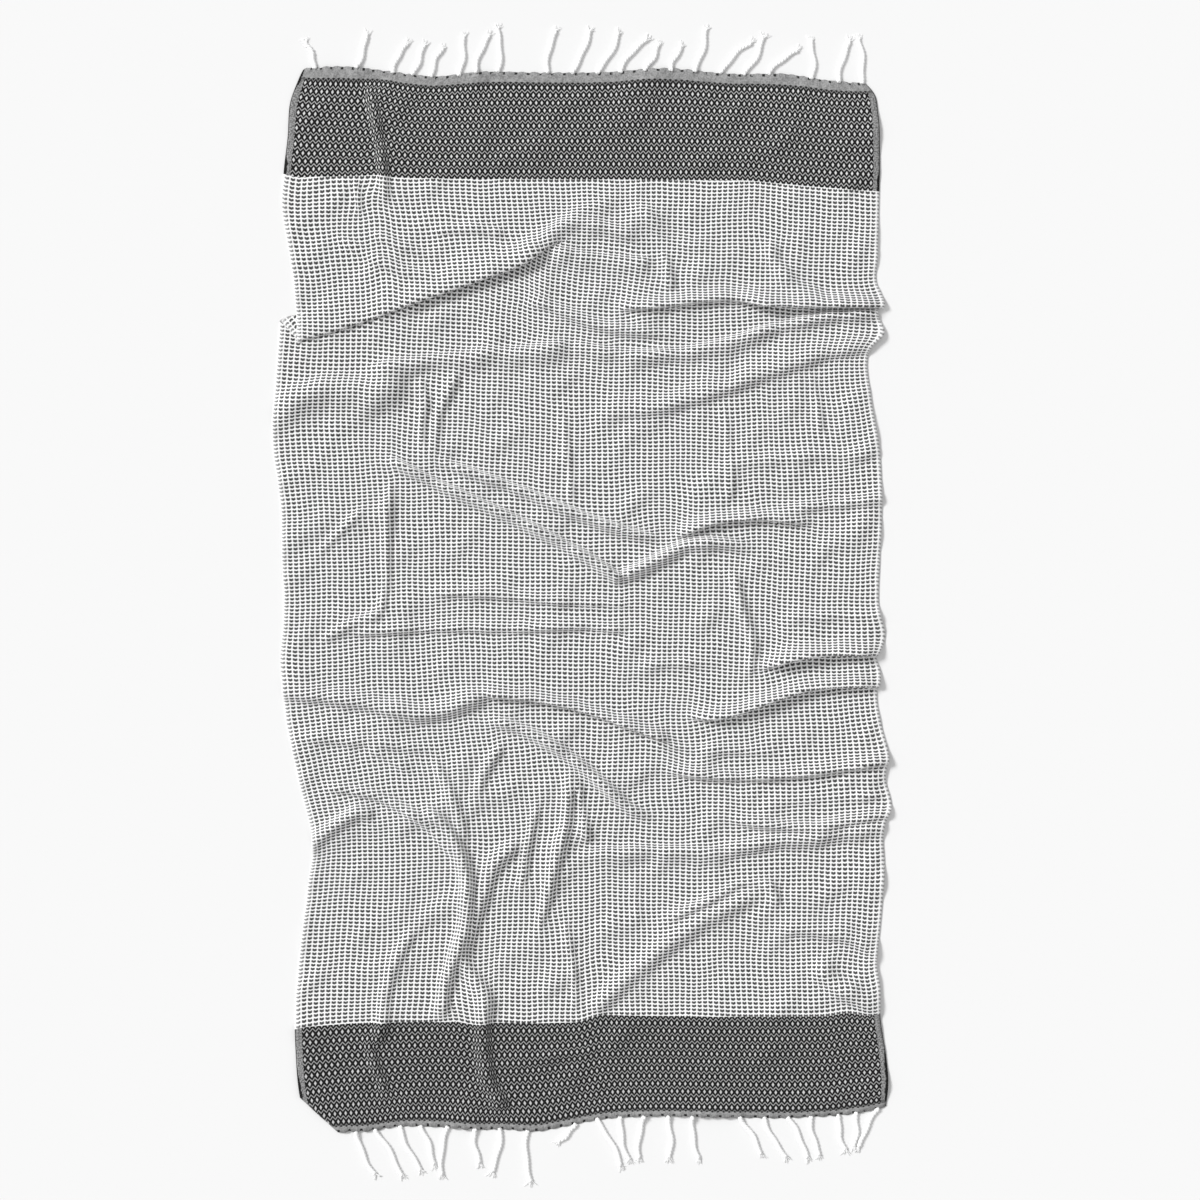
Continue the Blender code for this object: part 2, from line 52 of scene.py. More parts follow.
CENTRE = (-0.00105, -0.00004)  # centre of the laid towel in the outline's own numbers
LAID_WIDTH = 0.91  # between the selvedges as the towel lies
FOOT_HEM_DEPTH, HEAD_HEM_DEPTH = 0.0080, 0.0147  # turned hem at each short end
FOOT_BAND, HEAD_BAND = 0.1530, 0.1615  # hem and dark band together
SELVEDGE = 0.0050  # the field's plain selvedge, to the middle of its soft inner edge
BAND_SELVEDGE = 0.0100  # the bands' plain selvedge
FIRST_FOOT, FIRST_HEAD = 0.0150, 0.0227  # middle of the first row of diamonds
DASH_ACROSS, DASH_ALONG = 0.00870, 0.00595  # repeat of the dashes
DIAMOND_ACROSS, DIAMOND_ALONG = 0.00862, 0.01155  # repeat of the diamonds
STITCHES = 0.0185  # between the dark stitches at a hem's edge
SCALLOP, SCALLOP_INSIDE = 0.0030, 0.0012  # swell between stitches, at the edge and a row in

YARN_RADIUS, YARN_OFF_MIDDLE = 0.00225, 0.00150  # a cord is two yarns round its middle
YARN_TURN = 0.0105  # length of cord in which its yarns go round once
CORD_FLATTENED = 0.6  # height of a lying cord against its width
CORD_STATIONS, YARN_SIDES = 30, 6
LOOSE_ENDS, LOOSE_END_RADIUS = 14, 0.00075

COLUMNS = 200
CORNER_CELLS = 10
CORNER_ACROSS, CORNER_ALONG = 0.052, 0.0495  # shares of width and length that turn under
ROWS = 390  # of the finished cloth
ROWS_LOWER, ROWS_UPPER = 470, 150  # of the first shape, before they are spaced evenly

RIPPLES = ((0.0022, 0.130, 5), (0.0015, 0.052, 9), (0.0003, 0.022, 3))  # height, length, seed
CROSSING = 1.6  # folds that cross add up as powers: the higher, the less they pile up
SIDE_CALM = 0.035  # folds reach their whole height this far from a selvedge
LIP_START, LIP_GROWN = -0.36, -0.14  # along the width, where the tuck's lip grows thicker
LIP_THIN, LIP_THICK = 0.0013, 0.0030  # half the lip's height
LIP_BEND, LIP_UNDERCUT = 0.0010, 0.0030  # its depth in plan, and how far it hangs over
LIP_FADE_BEFORE, LIP_FADE = 0.004, 0.042  # the lip's height is lost from its back line on
FOLDS_ON_LIP = 0.75  # share of the folds' height on the lip
UNDER_TUCK, TUCK_FADE = 0.024, 0.030  # the lower cloth is flat so far in, then eases up
FLAP_LIFTED, FLAP_FADE = 0.035, 0.045  # cloth raised by the turned corner under it
CREASE_MIDDLE, CREASE_REACH, CREASE_FADE = 0.038, 0.055, 0.050  # along that corner's crease
BAND_EASE = 0.45  # length of field that takes up a band's shift

WINDOW, WINDOW_SPREAD, WINDOW_POWER = (-3.25, 1.95, 2.75), math.radians(18), 3.0
ROOM_LIGHT = 0.60
PAPER_TONE, FLOOR_REACH = 0.815, 6.0
CAMERA_OVER, CAMERA_HEIGHT = (0.0270, 0.0075), 4.0  # in the outline's own numbers

# tones, from 0 black to 1 white
RIB_WHITE, RIB_SHADED = 0.86, 0.79
DASH_BLACK, DASH_GREY, SELVEDGE_DASH = 0.025, 0.10, 0.34
BAND_BLACK, BAND_WHITE = 0.006, 0.66
BAND_SELVEDGE_DARK, BAND_SELVEDGE_PALE = 0.10, 0.34
HEM_DARK, HEM_PALE, HEM_SHADE, STITCH_BLACK = 0.19, 0.37, 0.02, 0.015
BACK_BLACK = 0.008
CORD_WHITE, CORD_BRIGHT = 0.94, 0.98

# Edges of the laid cloth, below and above the tuck, and lines that cross it. The left and
# right edges run from foot to head, the others from left to right.
LEFT_LOWER = (
    (-0.4100, -0.7980), (-0.4160, -0.7675), (-0.4230, -0.7365), (-0.4290, -0.6760),
    (-0.4300, -0.6080), (-0.4230, -0.5180), (-0.4110, -0.4200), (-0.4040, -0.3680),
    (-0.4290, -0.2480), (-0.4460, -0.1580), (-0.4520, -0.0900), (-0.4480, -0.0220),
    (-0.4500, 0.0680), (-0.4530, 0.1580), (-0.4650, 0.2620), (-0.4600, 0.3300),
    (-0.4555, 0.3900), (-0.4530, 0.4290),
)  # fmt: skip
LEFT_UPPER = (
    (-0.4260, 0.3930), (-0.4280, 0.4300), (-0.4340, 0.4880), (-0.4420, 0.5480),
    (-0.4500, 0.6000), (-0.4476, 0.6465), (-0.4410, 0.7050), (-0.4370, 0.7560),
    (-0.4263, 0.7850), (-0.4180, 0.8040),
)  # fmt: skip
RIGHT_LOWER = (
    (0.4560, -0.7520), (0.4590, -0.7120), (0.4560, -0.6760), (0.4470, -0.6150),
    (0.4470, -0.5720), (0.4420, -0.5380), (0.4470, -0.4880), (0.4540, -0.3920),
    (0.4540, -0.3300), (0.4640, -0.3040), (0.4550, -0.2560), (0.4600, -0.2250),
    (0.4520, -0.1920), (0.4430, -0.1280), (0.4480, -0.1020), (0.4410, -0.0700),
    (0.4540, -0.0520), (0.4460, -0.0090), (0.4470, 0.0680), (0.4500, 0.1420),
    (0.4460, 0.2380), (0.4340, 0.3100), (0.4340, 0.3860), (0.4530, 0.4060),
    (0.4440, 0.4440), (0.4540, 0.4560), (0.4420, 0.4830), (0.4440, 0.5250),
)  # fmt: skip
RIGHT_UPPER = (
    (0.4440, 0.5450), (0.4460, 0.6220), (0.4465, 0.6900), (0.4440, 0.7380),
    (0.4395, 0.7640), (0.4270, 0.7815),
)  # fmt: skip
FOOT_HEM = (
    (-0.4100, -0.7980), (-0.3880, -0.7945), (-0.3660, -0.7905), (-0.3260, -0.7890),
    (-0.2740, -0.7820), (-0.2160, -0.7820), (-0.1650, -0.7860), (-0.1140, -0.7860),
    (-0.0680, -0.7890), (-0.0340, -0.7830), (0.0270, -0.7710), (0.1230, -0.7660),
    (0.2220, -0.7680), (0.3300, -0.7680), (0.4220, -0.7600), (0.4560, -0.7520),
)  # fmt: skip
HEAD_HEM = (
    (-0.4180, 0.8040), (-0.3630, 0.8070), (-0.2900, 0.8000), (-0.2180, 0.7920),
    (-0.1640, 0.7980), (-0.0570, 0.7980), (0.0270, 0.7980), (0.1320, 0.8040),
    (0.2190, 0.7960), (0.3120, 0.7950), (0.3690, 0.7860), (0.4270, 0.7815),
)  # fmt: skip
TUCK_BACK = (
    (-0.4530, 0.4290), (-0.3600, 0.4570), (-0.2500, 0.4880), (-0.1550, 0.5140),
    (-0.0800, 0.5340), (-0.0400, 0.5440), (0.1000, 0.5330), (0.4440, 0.5250),
)  # fmt: skip
TUCK_LIP = (
    (-0.4260, 0.3930), (-0.3550, 0.4130), (-0.2450, 0.4520), (-0.1550, 0.4830),
    (-0.0800, 0.5120), (-0.0400, 0.5400), (0.1000, 0.5530), (0.4440, 0.5450),
)  # fmt: skip
FOOT_LINE = (
    (-0.4313, -0.6360), (-0.4178, -0.6325), (-0.3520, -0.6278), (-0.2830, -0.6255),
    (-0.1830, -0.6245), (-0.1630, -0.6290), (-0.1300, -0.6260), (-0.0830, -0.6275),
    (-0.0030, -0.6255), (0.0270, -0.6145), (0.2170, -0.6175), (0.3670, -0.6170),
    (0.3966, -0.6115), (0.4290, -0.6160), (0.4470, -0.6125),
)  # fmt: skip
HEAD_LINE = (
    (-0.4476, 0.6465), (-0.4263, 0.6410), (-0.3730, 0.6423), (-0.3330, 0.6430),
    (-0.3090, 0.6450), (-0.2877, 0.6410), (-0.2130, 0.6390), (0.0270, 0.6380),
    (0.2520, 0.6363), (0.3270, 0.6288), (0.4020, 0.6225), (0.4470, 0.6200),
)  # fmt: skip
TUCK_CLOSED_UNTIL, TUCK_OPEN_FROM = -0.085, -0.030  # along the width

# Folds, in millimetres from the middle of the cloth: crest line, height, reach to its
# right hand, reach to its left hand, lengths over which it fades in and out, and how far
# its crest leans to the left hand for each millimetre of height.
FOLDS = {
    "tuck billow": (((-426, 392), (-355, 412), (-245, 451), (-155, 483), (-80, 513), (-51,
        534)), 10.5, 12, 40, 240, 30, 0),
    "tuck end ridge up": (((-68, 536), (-33, 569), (7, 591), (62, 614)), 6, 26, 16, 30, 60,
        0),
    "tuck end ridge down": (((-65, 532), (-38, 564), (-3, 574), (37, 566), (77, 550), (107,
        530)), 7, 20, 14, 60, 50, 0),
    "upper middle": (((77, 607), (107, 572), (147, 544), (207, 529)), 6, 14, 20, 30, 50, 0),
    "pocket shelf": (((-47, 532), (-3, 525), (47, 520), (107, 514)), 9.5, 36, 12, 24, 10,
        0),
    "pocket side": (((117, 542), (127, 502), (133, 467)), 10, 12, 16, 20, 16, 0),
    "upper right": (((275, 557), (289, 512), (317, 477), (377, 457)), 9, 14, 20, 30, 30, 0),
    "right crease, thin": (((47, 446), (117, 452), (177, 460), (257, 464), (307, 458)),
        12.5, 8, 18, 40, 30, -0.45),
    "right crease, deep": (((217, 461), (257, 463), (307, 457), (377, 456), (452, 456)),
        20.5, 11, 20, 60, 0, -0.5),
    "under the pocket": (((-88, 460), (-38, 444), (7, 424), (77, 409), (142, 405)), 9, 12,
        16, 40, 50, 0),
    "long upper, left": (((-343, 349), (-253, 364), (-153, 376), (-53, 385), (-13, 394)),
        10, 34, 14, 50, 30, 0),
    "long upper, right": (((-18, 392), (77, 376), (157, 380), (217, 394), (277, 412), (317,
        420)), 10, 26, 12, 30, 50, 0),
    "right under crease": (((217, 396), (297, 418), (367, 432), (452, 439)), 11, 16, 12, 70,
        0, 0),
    "second right": (((452, 390), (367, 376), (297, 354), (217, 326), (157, 306), (77, 290),
        (7, 284)), 10, 32, 16, 0, 120, 0),
    "left shelf": (((-468, 287), (-423, 316), (-373, 324), (-293, 325), (-258, 344)), 14,
        46, 32, 0, 40, 0),
    "notch, left wall": (((-243, 347), (-237, 307), (-241, 257), (-235, 220)), 9, 9, 12, 15,
        15, 0),
    "notch": (((-187, 352), (-201, 317), (-215, 287), (-221, 252), (-225, 214)), 8, 14, 12,
        15, 25, 0),
    "diagonal, upper": (((-221, 220), (-143, 192), (-83, 170), (-23, 144), (57, 115), (122,
        98)), 14, 16, 8, 40, 50, 0),
    "diagonal, lower": (((-295, 224), (-233, 191), (-163, 159), (-83, 122), (-33, 96), (17,
        68), (62, 37)), 15, 16, 8, 30, 10, 0),
    "centre groove": (((57, 41), (117, 70), (157, 90), (217, 92), (272, 80)), 12.5, 16, 14,
        15, 50, 0),
    "middle crest": (((132, 100), (187, 125), (237, 133), (287, 133), (357, 121)), 15, 9,
        16, 40, 60, -0.4),
    "middle crest, on": (((207, 130), (317, 144), (452, 159)), 7.5, 12, 14, 60, 0, 0),
    "fold mark one": (((210, 307), (221, 232), (223, 152)), 5.5, 8, 8, 20, 20, 0),
    "fold mark two": (((-33, 312), (-22, 232), (-15, 152)), 5.5, 8, 8, 20, 20, 0),
    "fold mark three": (((343, 352), (361, 252)), 5.5, 8, 8, 20, 20, 0),
    "left upright": (((-289, 192), (-291, 122), (-295, 27), (-301, -10)), 7.5, 12, 9, 20,
        10, 0),
    "left slant": (((-325, 147), (-361, 112), (-401, 72)), 5.5, 10, 10, 20, 20, 0),
    "level one": (((-243, 20), (-133, 16), (-33, 6), (97, -1)), 7.5, 9, 16, 60, 40, -0.3),
    "level two": (((-363, -42), (-233, -34), (-83, -34), (-3, -30), (82, -39)), 9, 10, 18,
        60, 40, -0.3),
    "level, left end": (((-395, -56), (-348, -28), (-299, -12)), 7.5, 16, 10, 20, 10, 0),
    "right upright": (((223, 57), (239, -8), (255, -63), (247, -113)), 9.5, 13, 16, 30, 20,
        0),
    "right overhang": (((255, -97), (307, -75), (357, -66), (452, -66)), 20, 11, 18, 50, 0,
        -0.5),
    "right second": (((147, -166), (217, -161), (277, -140), (337, -121), (452, -115)), 15,
        9, 16, 50, 0, -0.45),
    "s ridge": (((-453, -133), (-363, -140), (-283, -156), (-233, -165), (-183, -150),
        (-138, -129)), 14.5, 18, 26, 0, 30, 0),
    "s, upper arm": (((-158, -130), (-63, -138), (17, -158), (77, -180), (145, -206)), 15,
        9, 15, 30, 30, -0.4),
    "s, lower arm": (((-148, -168), (-88, -186), (-43, -210), (2, -242), (37, -273), (72,
        -303), (109, -321)), 15, 16, 12, 40, 40, 0),
    "pocket mouth": (((102, -206), (167, -214), (237, -219), (307, -223)), 6, 12, 14, 20,
        50, 0),
    "middle right one": (((117, -246), (217, -256), (317, -252), (417, -238), (467, -230)),
        12.5, 10, 18, 60, 0, -0.3),
    "middle right two": (((207, -316), (277, -330), (347, -334), (417, -322), (467, -313)),
        12.5, 11, 18, 60, 0, 0),
    "middle right line": (((292, -295), (367, -291), (447, -286)), 5, 10, 10, 40, 0, 0),
    "low centre": (((-13, -374), (77, -367), (167, -367), (222, -371)), 7.5, 26, 10, 30, 30,
        0),
    "low right": (((207, -368), (277, -355), (347, -347), (452, -332)), 11, 24, 16, 30, 0,
        0),
    "low diagonal": (((5, -618), (47, -576), (107, -526), (167, -480), (232, -444), (279,
        -426)), 10.5, 24, 22, 30, 50, 0),
    "low branch": (((117, -476), (197, -440), (252, -414), (281, -422), (293, -456)), 9, 12,
        12, 60, 20, 0),
    "right hollow": (((287, -488), (357, -489), (422, -508), (457, -536)), 10, 16, 34, 50,
        0, 0),
    "right bump": (((342, -533), (379, -568), (417, -593), (462, -608)), 12.5, 22, 30, 30,
        0, 0),
    "left s, bright": (((-243, -303), (-207, -328), (-183, -368), (-171, -418), (-174,
        -478), (-193, -533), (-207, -583), (-211, -623)), 16, 20, 13, 30, 30, 0),
    "left s, shade": (((-88, -350), (-121, -378), (-145, -428), (-161, -478), (-180, -528),
        (-165, -554), (-147, -580), (-147, -653), (-137, -718), (-111, -758)), 11, 22, 15,
        30, 20, 0),
    "left s, crease": (((-227, -223), (-195, -288), (-171, -363)), 7.5, 14, 12, 20, 20, 0),
    "left outer": (((-248, -480), (-276, -526), (-293, -576), (-301, -638), (-311, -670)),
        8, 16, 14, 30, 30, 0),
    "left crown": (((-391, -275), (-323, -283), (-273, -303), (-233, -330), (-191, -380)),
        11, 10, 15, 30, 20, 0),
    "left crown, upper": (((-325, -208), (-273, -240), (-237, -262)), 6, 10, 14, 20, 20, 0),
    "left notch": (((-411, -364), (-385, -340), (-358, -322), (-333, -310), (-309, -318)),
        11, 16, 16, 0, 15, 0),
    "left level": (((-443, -196), (-363, -202), (-283, -210), (-193, -224)), 6, 12, 16, 0,
        40, 0),
    "short slant": (((-119, -206), (-144, -246), (-161, -290)), 8, 13, 13, 20, 25, 0),
    "upright one": (((-17, -243), (-22, -318), (-40, -388), (-55, -448), (-71, -496)), 10.5,
        16, 12, 30, 40, 0),
    "upright two": (((-65, -293), (-81, -363), (-91, -428)), 10, 12, 8, 30, 30, 0),
    "upright three": (((-9, -253), (3, -326), (8, -358)), 9, 8, 10, 20, 15, 0),
    "fold mark four": (((-28, -463), (-13, -548), (-8, -618)), 5.5, 8, 8, 20, 20, 0),
    "head band crease": (((-323, 787), (-309, 732), (-299, 662), (-293, 594)), 7.5, 12, 10,
        30, 40, 0),
    "head fold mark": (((-340, 642), (-331, 572)), 5.5, 8, 8, 20, 20, 0),
    "foot band crease, left": (((-323, -644), (-311, -684), (-291, -732)), 7.5, 12, 9, 25,
        20, 0),
    "right faint one": (((217, 212), (317, 220), (447, 227)), 5, 14, 18, 40, 0, 0),
    "right level": (((287, -21), (367, -18), (452, -16)), 5, 12, 16, 40, 0, 0),
    "middle level": (((77, -93), (157, -86), (217, -94)), 4.5, 12, 12, 30, 20, 0),
    "low faint upright": (((77, -398), (83, -478)), 4, 10, 10, 30, 30, 0),
    "upper left one": (((-383, 564), (-365, 552), (-308, 517), (-255, 496), (-221, 486)),
        7.5, 12, 18, 40, 30, 0),
    "upper left two": (((-333, 565), (-278, 541), (-215, 519)), 6, 10, 12, 30, 30, 0),
    "upper left level": (((-235, 560), (-153, 563), (-113, 554)), 6, 10, 14, 30, 20, 0),
    "foot band crease": (((-95, -684), (-33, -676), (29, -666)), 5, 10, 12, 30, 20, 0),
}  # fmt: skip

# Fringe cords: where each leaves the hem along the width, how far its tip lies to the
# right of that and out from the hem, and how far the cord bows.
HEAD_TASSELS = (
    (-0.402, -0.012, 0.037, 0.004), (-0.338, 0.014, 0.050, 0.003),
    (-0.284, 0.022, 0.042, -0.004), (-0.254, 0.016, 0.044, 0.002),
    (-0.226, 0.016, 0.042, -0.003), (-0.184, 0.006, 0.058, 0.003),
    (-0.160, 0.021, 0.054, -0.004), (-0.126, -0.002, 0.064, 0.005),
    (-0.052, 0.014, 0.062, -0.005), (-0.016, 0.027, 0.062, 0.004),
    (0.021, 0.034, 0.060, 0.005), (0.057, 0.042, 0.048, -0.006),
    (0.093, 0.021, 0.036, 0.003), (0.132, 0.018, 0.033, -0.003),
    (0.168, 0.018, 0.062, 0.004), (0.208, 0.045, 0.046, -0.005),
    (0.242, 0.030, 0.056, 0.005), (0.279, 0.044, 0.034, -0.004),
    (0.345, -0.003, 0.056, 0.004), (0.384, 0.018, 0.060, -0.003),
    (0.419, -0.004, 0.066, 0.004),
)  # fmt: skip
FOOT_TASSELS = (
    (-0.338, 0.027, 0.063, 0.004), (-0.310, 0.040, 0.069, -0.003),
    (-0.274, 0.033, 0.064, 0.003), (-0.242, 0.020, 0.057, -0.003),
    (-0.201, -0.009, 0.072, 0.005), (-0.162, 0.009, 0.050, 0.003),
    (-0.122, -0.014, 0.064, -0.004), (-0.082, 0.006, 0.075, 0.005),
    (-0.010, -0.024, 0.026, -0.002), (0.021, 0.038, 0.069, -0.004),
    (0.058, 0.012, 0.064, 0.004), (0.094, -0.009, 0.062, 0.004),
    (0.128, 0.003, 0.062, -0.004), (0.166, 0.009, 0.062, 0.004),
    (0.236, 0.033, 0.054, -0.003), (0.273, 0.034, 0.058, 0.004),
    (0.309, 0.028, 0.060, -0.004), (0.342, 0.015, 0.056, 0.003),
    (0.386, 0.008, 0.052, 0.004), (0.410, -0.002, 0.050, -0.003),
    (0.444, -0.028, 0.058, 0.003),
)  # fmt: skip


# ---------------------------------------------------------------- lines and surfaces
def eased(t):
    """From 0 to 1 with a soft start and end."""
    t = np.clip(t, 0.0, 1.0)
    return t * t * (3 - 2 * t)


def curve(points, steps=8):
    """A smooth line through the points, which may be unevenly spaced."""
    p = np.array(points, float)
    h = np.linalg.norm(np.diff(p, axis=0), axis=1)[:, None]
    slope = np.diff(p, axis=0) / h
    inner = (slope[:-1] * h[1:] + slope[1:] * h[:-1]) / (h[:-1] + h[1:])
    tangent = np.vstack([slope[:1], inner, slope[-1:]])
    t = np.linspace(0, 1, steps, endpoint=False)[:, None]
    pieces = []
    for k in range(len(p) - 1):
        ahead, back = tangent[k] * h[k], tangent[k + 1] * h[k]
        pieces.append(
            (2 * t**3 - 3 * t**2 + 1) * p[k] + (t**3 - 2 * t**2 + t) * ahead
            + (3 * t**2 - 2 * t**3) * p[k + 1] + (t**3 - t**2) * back
        )  # fmt: skip
    return np.vstack(pieces + [p[-1:]])


def run_along(line):
    """How far along the line each of its points lies."""
    steps = np.linalg.norm(np.diff(line, axis=0), axis=1)
    return np.concatenate([[0], np.cumsum(steps)])


def at_shares(points, shares):
    """Points on the smooth line at these shares of its length."""
    line = curve(points)
    run = run_along(line)
    return np.column_stack([np.interp(shares * run[-1], run, line[:, k]) for k in (0, 1)])


def patch(low, high, left, right, u, v):
    """Plan positions filling four edge lines, as rows of v by columns of u."""
    low, high = at_shares(low, u)[None], at_shares(high, u)[None]
    left, right = at_shares(left, v)[:, None], at_shares(right, v)[:, None]
    u, v = u[None, :, None], v[:, None, None]
    sides = (1 - u) * left + u * right + (1 - v) * low + v * high
    corners = (1 - u) * ((1 - v) * low[:, :1] + v * high[:, :1])
    corners = corners + u * ((1 - v) * low[:, -1:] + v * high[:, -1:])
    return sides - corners


def beside(line, x, y):
    """For each point, its signed distance from the line (left hand is positive), how far
    along the line it lies, and which way is left there."""
    best = np.full(x.shape, np.inf)
    side, along = np.zeros(x.shape), np.zeros(x.shape)
    left_x, left_y = np.zeros(x.shape), np.zeros(x.shape)
    run = 0.0
    for (ax, ay), (bx, by) in zip(line[:-1], line[1:]):
        length = math.hypot(bx - ax, by - ay)
        tx, ty = (bx - ax) / length, (by - ay) / length
        reach = np.clip((x - ax) * tx + (y - ay) * ty, 0, length)
        dx, dy = x - ax - tx * reach, y - ay - ty * reach
        distance = np.hypot(dx, dy)
        closer = distance < best
        best[closer] = distance[closer]
        side[closer] = np.where(tx * dy - ty * dx >= 0, 1.0, -1.0)[closer]
        along[closer] = (run + reach)[closer]
        left_x[closer], left_y[closer] = -ty, tx
        run += length
    return best * side, along, run, left_x, left_y


def fold_shape(x, y):
    """Height of the folds at each point, and how far their crests lean in plan."""
    total, lean_x, lean_y = np.zeros(x.shape), np.zeros(x.shape), np.zeros(x.shape)
    for crest, height, right, left, fade_in, fade_out, lean in FOLDS.values():
        line = curve(crest, 5) * MM
        height, right, left = height * MM, right * MM, left * MM
        fade_in, fade_out = fade_in * MM, fade_out * MM
        margin = max(right, left)
        near = (
            (x > line[:, 0].min() - margin) & (x < line[:, 0].max() + margin)
            & (y > line[:, 1].min() - margin) & (y < line[:, 1].max() + margin)
        )  # fmt: skip
        distance, along, length, lx, ly = beside(line, x[near], y[near])
        reach = np.where(distance > 0, left, right)
        rise = 0.5 + 0.5 * np.cos(np.pi * np.clip(np.abs(distance) / reach, 0, 1))
        if fade_in:
            rise = rise * eased(0.1 + 0.9 * along / fade_in)
        if fade_out:
            rise = rise * eased(0.1 + 0.9 * (length - along) / fade_out)
        total[near] += (height * rise) ** CROSSING
        lean_x[near] += lx * height * rise * lean
        lean_y[near] += ly * height * rise * lean
    return total ** (1 / CROSSING), lean_x, lean_y


def ripple(x, y, wavelength, seed):
    """Soft unevenness of about unit height with no repeat in sight."""
    chance = np.random.default_rng(seed)
    total = np.zeros(x.shape)
    for _ in range(9):
        turn, phase = chance.uniform(0, 2 * np.pi, 2)
        pitch = 2 * np.pi / (wavelength * chance.uniform(0.75, 1.5))
        total += np.sin(pitch * (x * math.cos(turn) + y * math.sin(turn)) + phase)
    return total / 3.0


# ---------------------------------------------------------------- the cloth
def grid_shares(corner, cells):
    """Shares of a side at its grid lines: the turned corner's cells, then the others."""
    first = corner * np.linspace(0, 1, CORNER_CELLS + 1)
    return np.concatenate([first, np.linspace(corner, 1, cells - CORNER_CELLS + 1)[1:]])


def cloth_middle():
    """The cloth's middle surface: a grid of points, rows from foot to head."""
    u = grid_shares(CORNER_ACROSS, COLUMNS)
    v = grid_shares(CORNER_ALONG, ROWS_LOWER)
    back, lip = at_shares(TUCK_BACK, u), at_shares(TUCK_LIP, u)
    lower = patch(FOOT_HEM, TUCK_BACK, LEFT_LOWER, RIGHT_LOWER, u, v)[:-1]
    upper = patch(TUCK_LIP, HEAD_HEM, LEFT_UPPER, RIGHT_UPPER, u,
                  np.linspace(0, 1, ROWS_UPPER + 1))[1:]  # fmt: skip
    opened = eased((back[:, 0] - TUCK_CLOSED_UNTIL) / (TUCK_OPEN_FROM - TUCK_CLOSED_UNTIL))
    closed = 1 - opened
    thick = eased((lip[:, 0] - LIP_START) / (LIP_GROWN - LIP_START))
    roll = LIP_THIN + (LIP_THICK - LIP_THIN) * thick

    # the folded rows between the lower and the upper cloth
    small = LAYER / 2
    flat = np.zeros(len(u))
    rows, levels = [], []
    # round the back, forward under the upper cloth, and round the lip
    for a in np.radians(np.linspace(-90, 90, 6)[1:-1]):
        rows.append(back + [0, small * math.cos(a) - small])
        levels.append(flat + small + small * math.sin(a))
    for share in (0.0, 0.33, 0.66):
        start, end = back - [0, small], lip + [0, LIP_BEND + LIP_UNDERCUT]
        rows.append(start * (1 - share) + end * share)
        levels.append(flat + LAYER)
    for a in np.radians(np.linspace(-90, 90, 8)):
        bent = LIP_BEND * (1 - math.cos(a)) + LIP_UNDERCUT * (1 - math.sin(a)) / 2
        rows.append(lip + [0, bent])
        levels.append(LAYER + roll + roll * math.sin(a))
    rows, levels = np.array(rows), np.array(levels)
    count = len(rows)
    share = np.linspace(0, 1, count + 2)[1:-1, None, None]
    plain = back[None] * (1 - share) + lip[None] * share
    middle = rows * closed[None, :, None] + plain * opened[None, :, None]
    levels = levels * closed

    plan = np.vstack([lower, middle, upper])
    x, y = plan[:, :, 0], plan[:, :, 1]
    rise, lean_x, lean_y = fold_shape(x, y)
    loose = sum(height * ripple(x, y, length, seed) for height, length, seed in RIPPLES)

    # how much of its folds each place keeps: under the tuck the lower cloth lies flat
    first, last = len(lower), len(lower) + count
    bare = np.ones(x.shape)
    uncovered = eased((back[None, :, 1] - y[:first] - UNDER_TUCK) / TUCK_FADE)
    bare[:first] = uncovered * closed + opened
    ramp = np.linspace(0, 1, count)[:, None] ** 3
    bare[first:last] = FOLDS_ON_LIP * ramp * closed + opened
    above = eased((y[last:] - lip[None, :, 1]) / TUCK_FADE)
    bare[last:] = (FOLDS_ON_LIP + (1 - FOLDS_ON_LIP) * above) * closed + opened

    from_side = np.minimum(u, 1 - u)[None] * LAID_WIDTH
    z = (rise * (0.5 + 0.5 * eased(from_side / SIDE_CALM)) + loose) * bare
    z[first:last] += levels
    top_of_lip = (LAYER + 2 * roll)[None]
    gone = eased((y[last:] - back[None, :, 1] + LIP_FADE_BEFORE) / LIP_FADE)
    z[last:] += top_of_lip * (1 - gone) * closed
    z = soft_floor(z)
    points = np.dstack([x + lean_x * bare, y + lean_y * bare, z])
    return evened(turned_corner(points))


def evened(points):
    """Space the rows evenly along the cloth, so that steep folds get as many as flats."""
    n = CORNER_CELLS
    rest = points[n:]
    steps = np.linalg.norm(np.diff(rest, axis=0), axis=2)
    run = np.vstack([np.zeros((1, rest.shape[1])), np.cumsum(steps, axis=0)])
    shares = np.linspace(0, 1, ROWS - n + 1)
    spaced = np.empty((len(shares), rest.shape[1], 3))
    for i in range(rest.shape[1]):
        for axis in range(3):
            spaced[:, i, axis] = np.interp(shares * run[-1, i], run[:, i], rest[:, i, axis])
    return np.vstack([points[:n], spaced])


def soft_floor(z, soft=0.0006):
    """Cloth that would lie below the floor lies on it, with a soft change."""
    return 0.5 * (z + np.sqrt(z * z + soft * soft)) - soft * 0.5 * np.exp(-np.abs(z) / soft)


